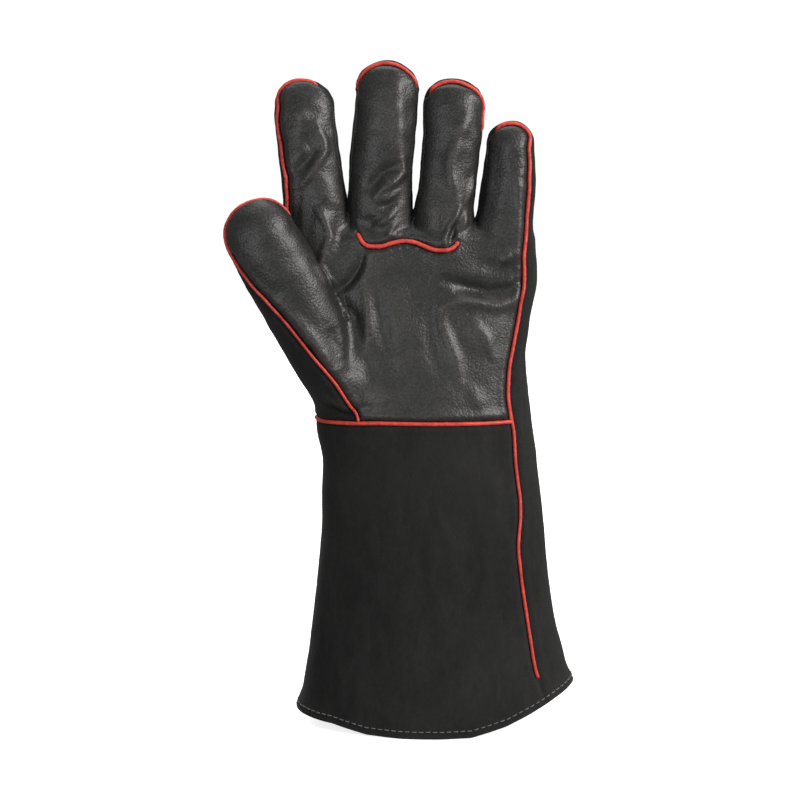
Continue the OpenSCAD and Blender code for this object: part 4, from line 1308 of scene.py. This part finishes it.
# ---------------------------------------------------------------- turned hem
def hem_sweep(name, n=260):
    """The cuff's own leather folded in: a round fold, then a flap inside."""
    ang = np.linspace(0, 2 * math.pi, n, endpoint=False)
    # points round the cuff a little above the hem, on the folded leather
    base = []
    zc0 = np.full(n, 4.0)
    for _ in range(3):
        cxh, cyh, ah, bh, nh = L_BODY.at(zc0)
        P = np.stack([cxh + ah * np.cos(ang), bh * np.sin(ang), zc0], 1)
        zc0 = hem_at(P) + 1.7
    prof = []
    r = 1.7
    prof.append([(0.0, 0.0)])
    path = []
    for t in np.linspace(0, math.pi, 9):
        path.append((-r + r * math.cos(t), -r * math.sin(t)))
    for h in np.linspace(1.5, 10.3, 5):
        path.append((-2 * r - 0.05, h))
    inner = []
    for h in np.linspace(10.3, 1.5, 5):
        inner.append((-r - 0.1, h))
    for t in np.linspace(math.pi, 0, 7):
        q = 0.15
        inner.append((-r + q * math.cos(t), -q * math.sin(t)))
    inner.append((-1.5, 0.0))
    path = path + inner
    V = []
    for du, dz in path:
        z = zc0 + dz
        cxh, cyh, ah, bh, nh = L_BODY.at(np.maximum(z, -9))
        P = np.stack([cxh + ah * np.cos(ang), bh * np.sin(ang), np.maximum(zc0, -9)], 1)
        cxh0, cyh0, ah0, bh0, nh0 = L_BODY.at(zc0)
        if dz > 0:
            P = np.stack([cxh + ah * np.cos(ang), bh * np.sin(ang), z], 1)
        else:
            P = np.stack([cxh0 + ah0 * np.cos(ang), bh0 * np.sin(ang), zc0], 1)
        N = unit(gradient(f_hand, P))
        P = P + N * folds(P, N)[:, None]
        Nh = unit(N * [1, 1, 0])
        P = P + Nh * du
        if dz <= 0:
            P[:, 2] += dz
        V.append(P)
    m = len(V)
    V = np.vstack(V)
    i = np.arange(n)
    j = (i + 1) % n
    faces = []
    for k in range(m):
        a, b = k * n, ((k + 1) % m) * n
        faces.append(np.stack([a + i, b + i, b + j, a + j], 1))
    # a relief of 0.62 lightens the turned edge as on a ridge: partly rubbed wear, partly a painted highlight
    return new_mesh(name, V, [np.vstack(faces)], SUEDE, attrs={"relief": np.full(len(V), 0.62)})


hem = hem_sweep("cuff_turned_hem")
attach(hem, "cuff")
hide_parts("cuff_hem_turn")


def stitch(P, T, N, length, r=0.28):
    """One stitch: a thread that comes up, lies along the leather and goes down."""
    u = np.linspace(-0.5, 0.5, 9)
    pts = P + T * (u * length)[:, None] + N * (0.34 - 1.9 * np.clip(np.abs(u) - 0.30, 0, 1) ** 1.3 * 4)[:, None]
    ang = np.arange(7) * 2 * math.pi / 7
    B = np.cross(T, N)
    ring = np.cos(ang)[:, None] * N + np.sin(ang)[:, None] * B
    V = (pts[:, None] + r * ring[None]).reshape(-1, 3)
    q = []
    for i in range(8):
        a, b = i * 7 + np.arange(7), (i + 1) * 7 + np.arange(7)
        q.append(np.stack([a, b, np.roll(b, -1), np.roll(a, -1)], 1))
    V = np.vstack([V, pts[:1], pts[-1:]])
    t = np.vstack([np.stack([np.arange(7), np.roll(np.arange(7), -1), np.full(7, 63)], 1),
                   np.stack([np.roll(56 + np.arange(7), -1), 56 + np.arange(7), np.full(7, 64)], 1)])
    return V, np.vstack(q)[:, ::-1], t[:, ::-1]


def hem_stitches(name, pitch=3.7, length=2.9, up=4.6):
    n = 720
    ang = np.linspace(0, 2 * math.pi, n, endpoint=False)
    z = np.full(n, 8.0)
    for _ in range(4):
        cxh, cyh, ah, bh, nh = L_BODY.at(z)
        P = np.stack([cxh + ah * np.cos(ang), bh * np.sin(ang), z], 1)
        z = hem_at(P) + up
    N = unit(gradient(f_hand, P))
    P = P + N * (folds(P, N) + 0.0)[:, None]
    d = np.linalg.norm(np.roll(P, -1, 0) - P, axis=1)
    run = np.concatenate([[0], np.cumsum(d)])
    count = int(run[-1] / pitch)
    closed = np.vstack([P, P[:1]])
    at = (np.arange(count) + 0.5) * run[-1] / count
    V, Q, T, base = [], [], [], 0
    rng = np.random.default_rng(11)
    for s in at:
        c = np.array([np.interp(s, run, closed[:, i]) for i in range(3)])
        e = np.array([np.interp(min(s + 0.6, run[-1]), run, closed[:, i]) for i in range(3)])
        g0 = g_body(c[None])[0]
        if abs(g0) < 1.8 and c[0] < 0:
            continue
        nn = unit(gradient(f_hand, c[None]))[0]
        t = unit(e - c)
        t = unit(t + np.array([0, 0, rng.normal() * 0.03]))
        v, q, tr = stitch(c + [0, 0, rng.normal() * 0.06], t, nn, length * (1 + rng.normal() * 0.04))
        V.append(v)
        Q.append(q + base)
        T.append(tr + base)
        base += len(v)
    return new_mesh(name, np.vstack(V), [np.vstack(Q), np.vstack(T)], THREAD)


st = hem_stitches("cuff_hem_stitching_thread")
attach(st, "cuff")
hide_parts("cuff_hem_stitching")


# -------------------------------------------------------------------- lining
def lining_of(F):
    return lambda P: F(P) + 2.05


L_STEP = 3.0
P, T = surface(lining_of(f_hand), LO, HI, L_STEP)
x, y, z = P.T
P, T, fr, side = split(P, T, z - hem_at(P) - 12.5)
T = T[side > 0]
P, T, fr, side = split(P, T, P[:, 2] - 168.0)
up = side > 0
slot = np.zeros(len(T), int)
for i in range(3):
    P, T, fr, side = split(P, T, P[:, 0] - wall_at(i, P[:, 2]), up)
    up, slot = up[fr], slot[fr] + (side > 0)
level = np.zeros(len(T), int)
P, T, fr, side = split(P, T, P[:, 2] - ROOT_Z, up)
up, slot = up[fr], slot[fr]
level = np.where(up & (side > 0), 1, 0)
for k in range(4):
    P, T, fr, side = split(P, T, P[:, 2] - CUT[FINGER[k]], up & (slot == k) & (level == 1))
    up, slot, level = up[fr], slot[fr], level[fr]
    level = np.where(up & (slot == k) & (level == 1) & (side > 0), 2, level)
N = vertex_normals(P, T)
P = P + N * (np.minimum(folds(P, N), 0.3) + 0.18 * waves(P, 21, 7) - 0.2)[:, None]
N = vertex_normals(P, T)
linings = {"cuff_lining": T[~up], "hand_lining": T[up & (level == 0)]}
for k in range(4):
    linings[FINGER[k] + "_lower_lining"] = T[up & (slot == k) & (level == 1)]
    linings[FINGER[k] + "_upper_lining"] = T[up & (slot == k) & (level == 2)]
P2, T2 = surface(lining_of(f_own_thumb), T_LO, T_HI, L_STEP)
P2, T2, fr, side = split(P2, T2, local(P2)[:, 2] - SC)
T2 = T2[side > 0]
P2, T2, fr, side = split(P2, T2, local(P2)[:, 2] - TH_CUT)
N2 = vertex_normals(P2, T2)
P2 = P2 + N2 * (np.minimum(folds(P2, N2), 0.3) - 0.2)[:, None]
N2 = vertex_normals(P2, T2)
sets = [(k, v, P, N) for k, v in linings.items()]
sets += [("thumb_lower_lining", T2[side < 0], P2, N2), ("thumb_upper_lining", T2[side > 0], P2, N2)]
for key, t, p_, n_ in sets:
    ob = shell(key + "_fleece", p_, n_, t, LINING, 1.4)
    bind(ob, "wrist" if key in ("cuff_lining", "hand_lining") else key.rsplit("_", 1)[0])
    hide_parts(key)


# --------------------------------------------------- floor, light and camera
def plane(name, size, loc, rot=(0, 0, 0)):
    me = bpy.data.meshes.new(name)
    s = size / 2
    me.from_pydata([(-s, -s, 0), (s, -s, 0), (s, s, 0), (-s, s, 0)], [], [(0, 1, 2, 3)])
    ob = bpy.data.objects.new(name, me)
    ob.location, ob.rotation_euler = loc, rot
    bpy.context.scene.collection.objects.link(ob)
    return ob


m, nt, b = nodes_of("pale_floor")
b.inputs["Base Color"].default_value = (0.82, 0.82, 0.82, 1)
b.inputs["Roughness"].default_value = 0.8
b.inputs["Specular IOR Level"].default_value = 0.1
b.inputs["Emission Color"].default_value = (1, 1, 1, 1)
b.inputs["Emission Strength"].default_value = 0.80
floor = plane("floor", 30, (0, 0, 0))
floor.data.materials.append(m)
floor.visible_diffuse = floor.visible_glossy = False

world = bpy.data.worlds.new("studio")
bpy.context.scene.world = world
world.use_nodes = True
wt = world.node_tree
bg = wt.nodes["Background"]
bg.inputs["Color"].default_value = (1, 1, 1, 1)
seen = wt.nodes.new("ShaderNodeLightPath").outputs["Is Camera Ray"]
wt.links.new(mathn(wt, "ADD", mathn(wt, "MULTIPLY", seen, 0.76), 0.28), bg.inputs["Strength"])
bpy.context.scene.view_settings.view_transform = "Standard"


def area(name, loc, target, size, power, sy=None):
    li = bpy.data.lights.new(name, "AREA")
    li.shape = "RECTANGLE"
    li.size, li.size_y, li.energy = size, sy or size, power
    ob = bpy.data.objects.new(name, li)
    ob.location = loc
    ob.rotation_euler = (Vector(target) - Vector(loc)).to_track_quat("-Z", "Y").to_euler()
    bpy.context.scene.collection.objects.link(ob)
    return ob


area("key", (0.97, -0.75, 0.72), (0, 0, 0.2), 0.62, 18).data.color = (1.0, 0.975, 0.955)
area("fill", (-0.6, -1.25, 0.08), (0, 0, 0.18), 0.6, 4.5)
area("top", (0.0, 0.25, 1.5), (0, 0, 0.2), 1.2, 10)
# the lamps behind the glove light its nap, and leave no glint along the edges in front
for lamp in (area("back_key", (-0.75, 1.2, 0.62), (0, 0, 0.2), 0.6, 20),
             area("back_fill", (0.9, 1.2, 0.30), (0, 0, 0.18), 0.7, 5)):
    lamp.visible_glossy = False

cam = bpy.data.cameras.new("camera")
cam.lens, cam.sensor_width = 85.42, 36
camera = bpy.data.objects.new("camera", cam)
camera.location = (-0.002, -1.0, 0.36)
camera.rotation_euler = (Vector((-0.002, 0, 0.1775)) - camera.location).to_track_quat("-Z", "Y").to_euler()
cam.clip_start, cam.clip_end = 0.01, 60
bpy.context.scene.collection.objects.link(camera)
bpy.context.scene.camera = camera
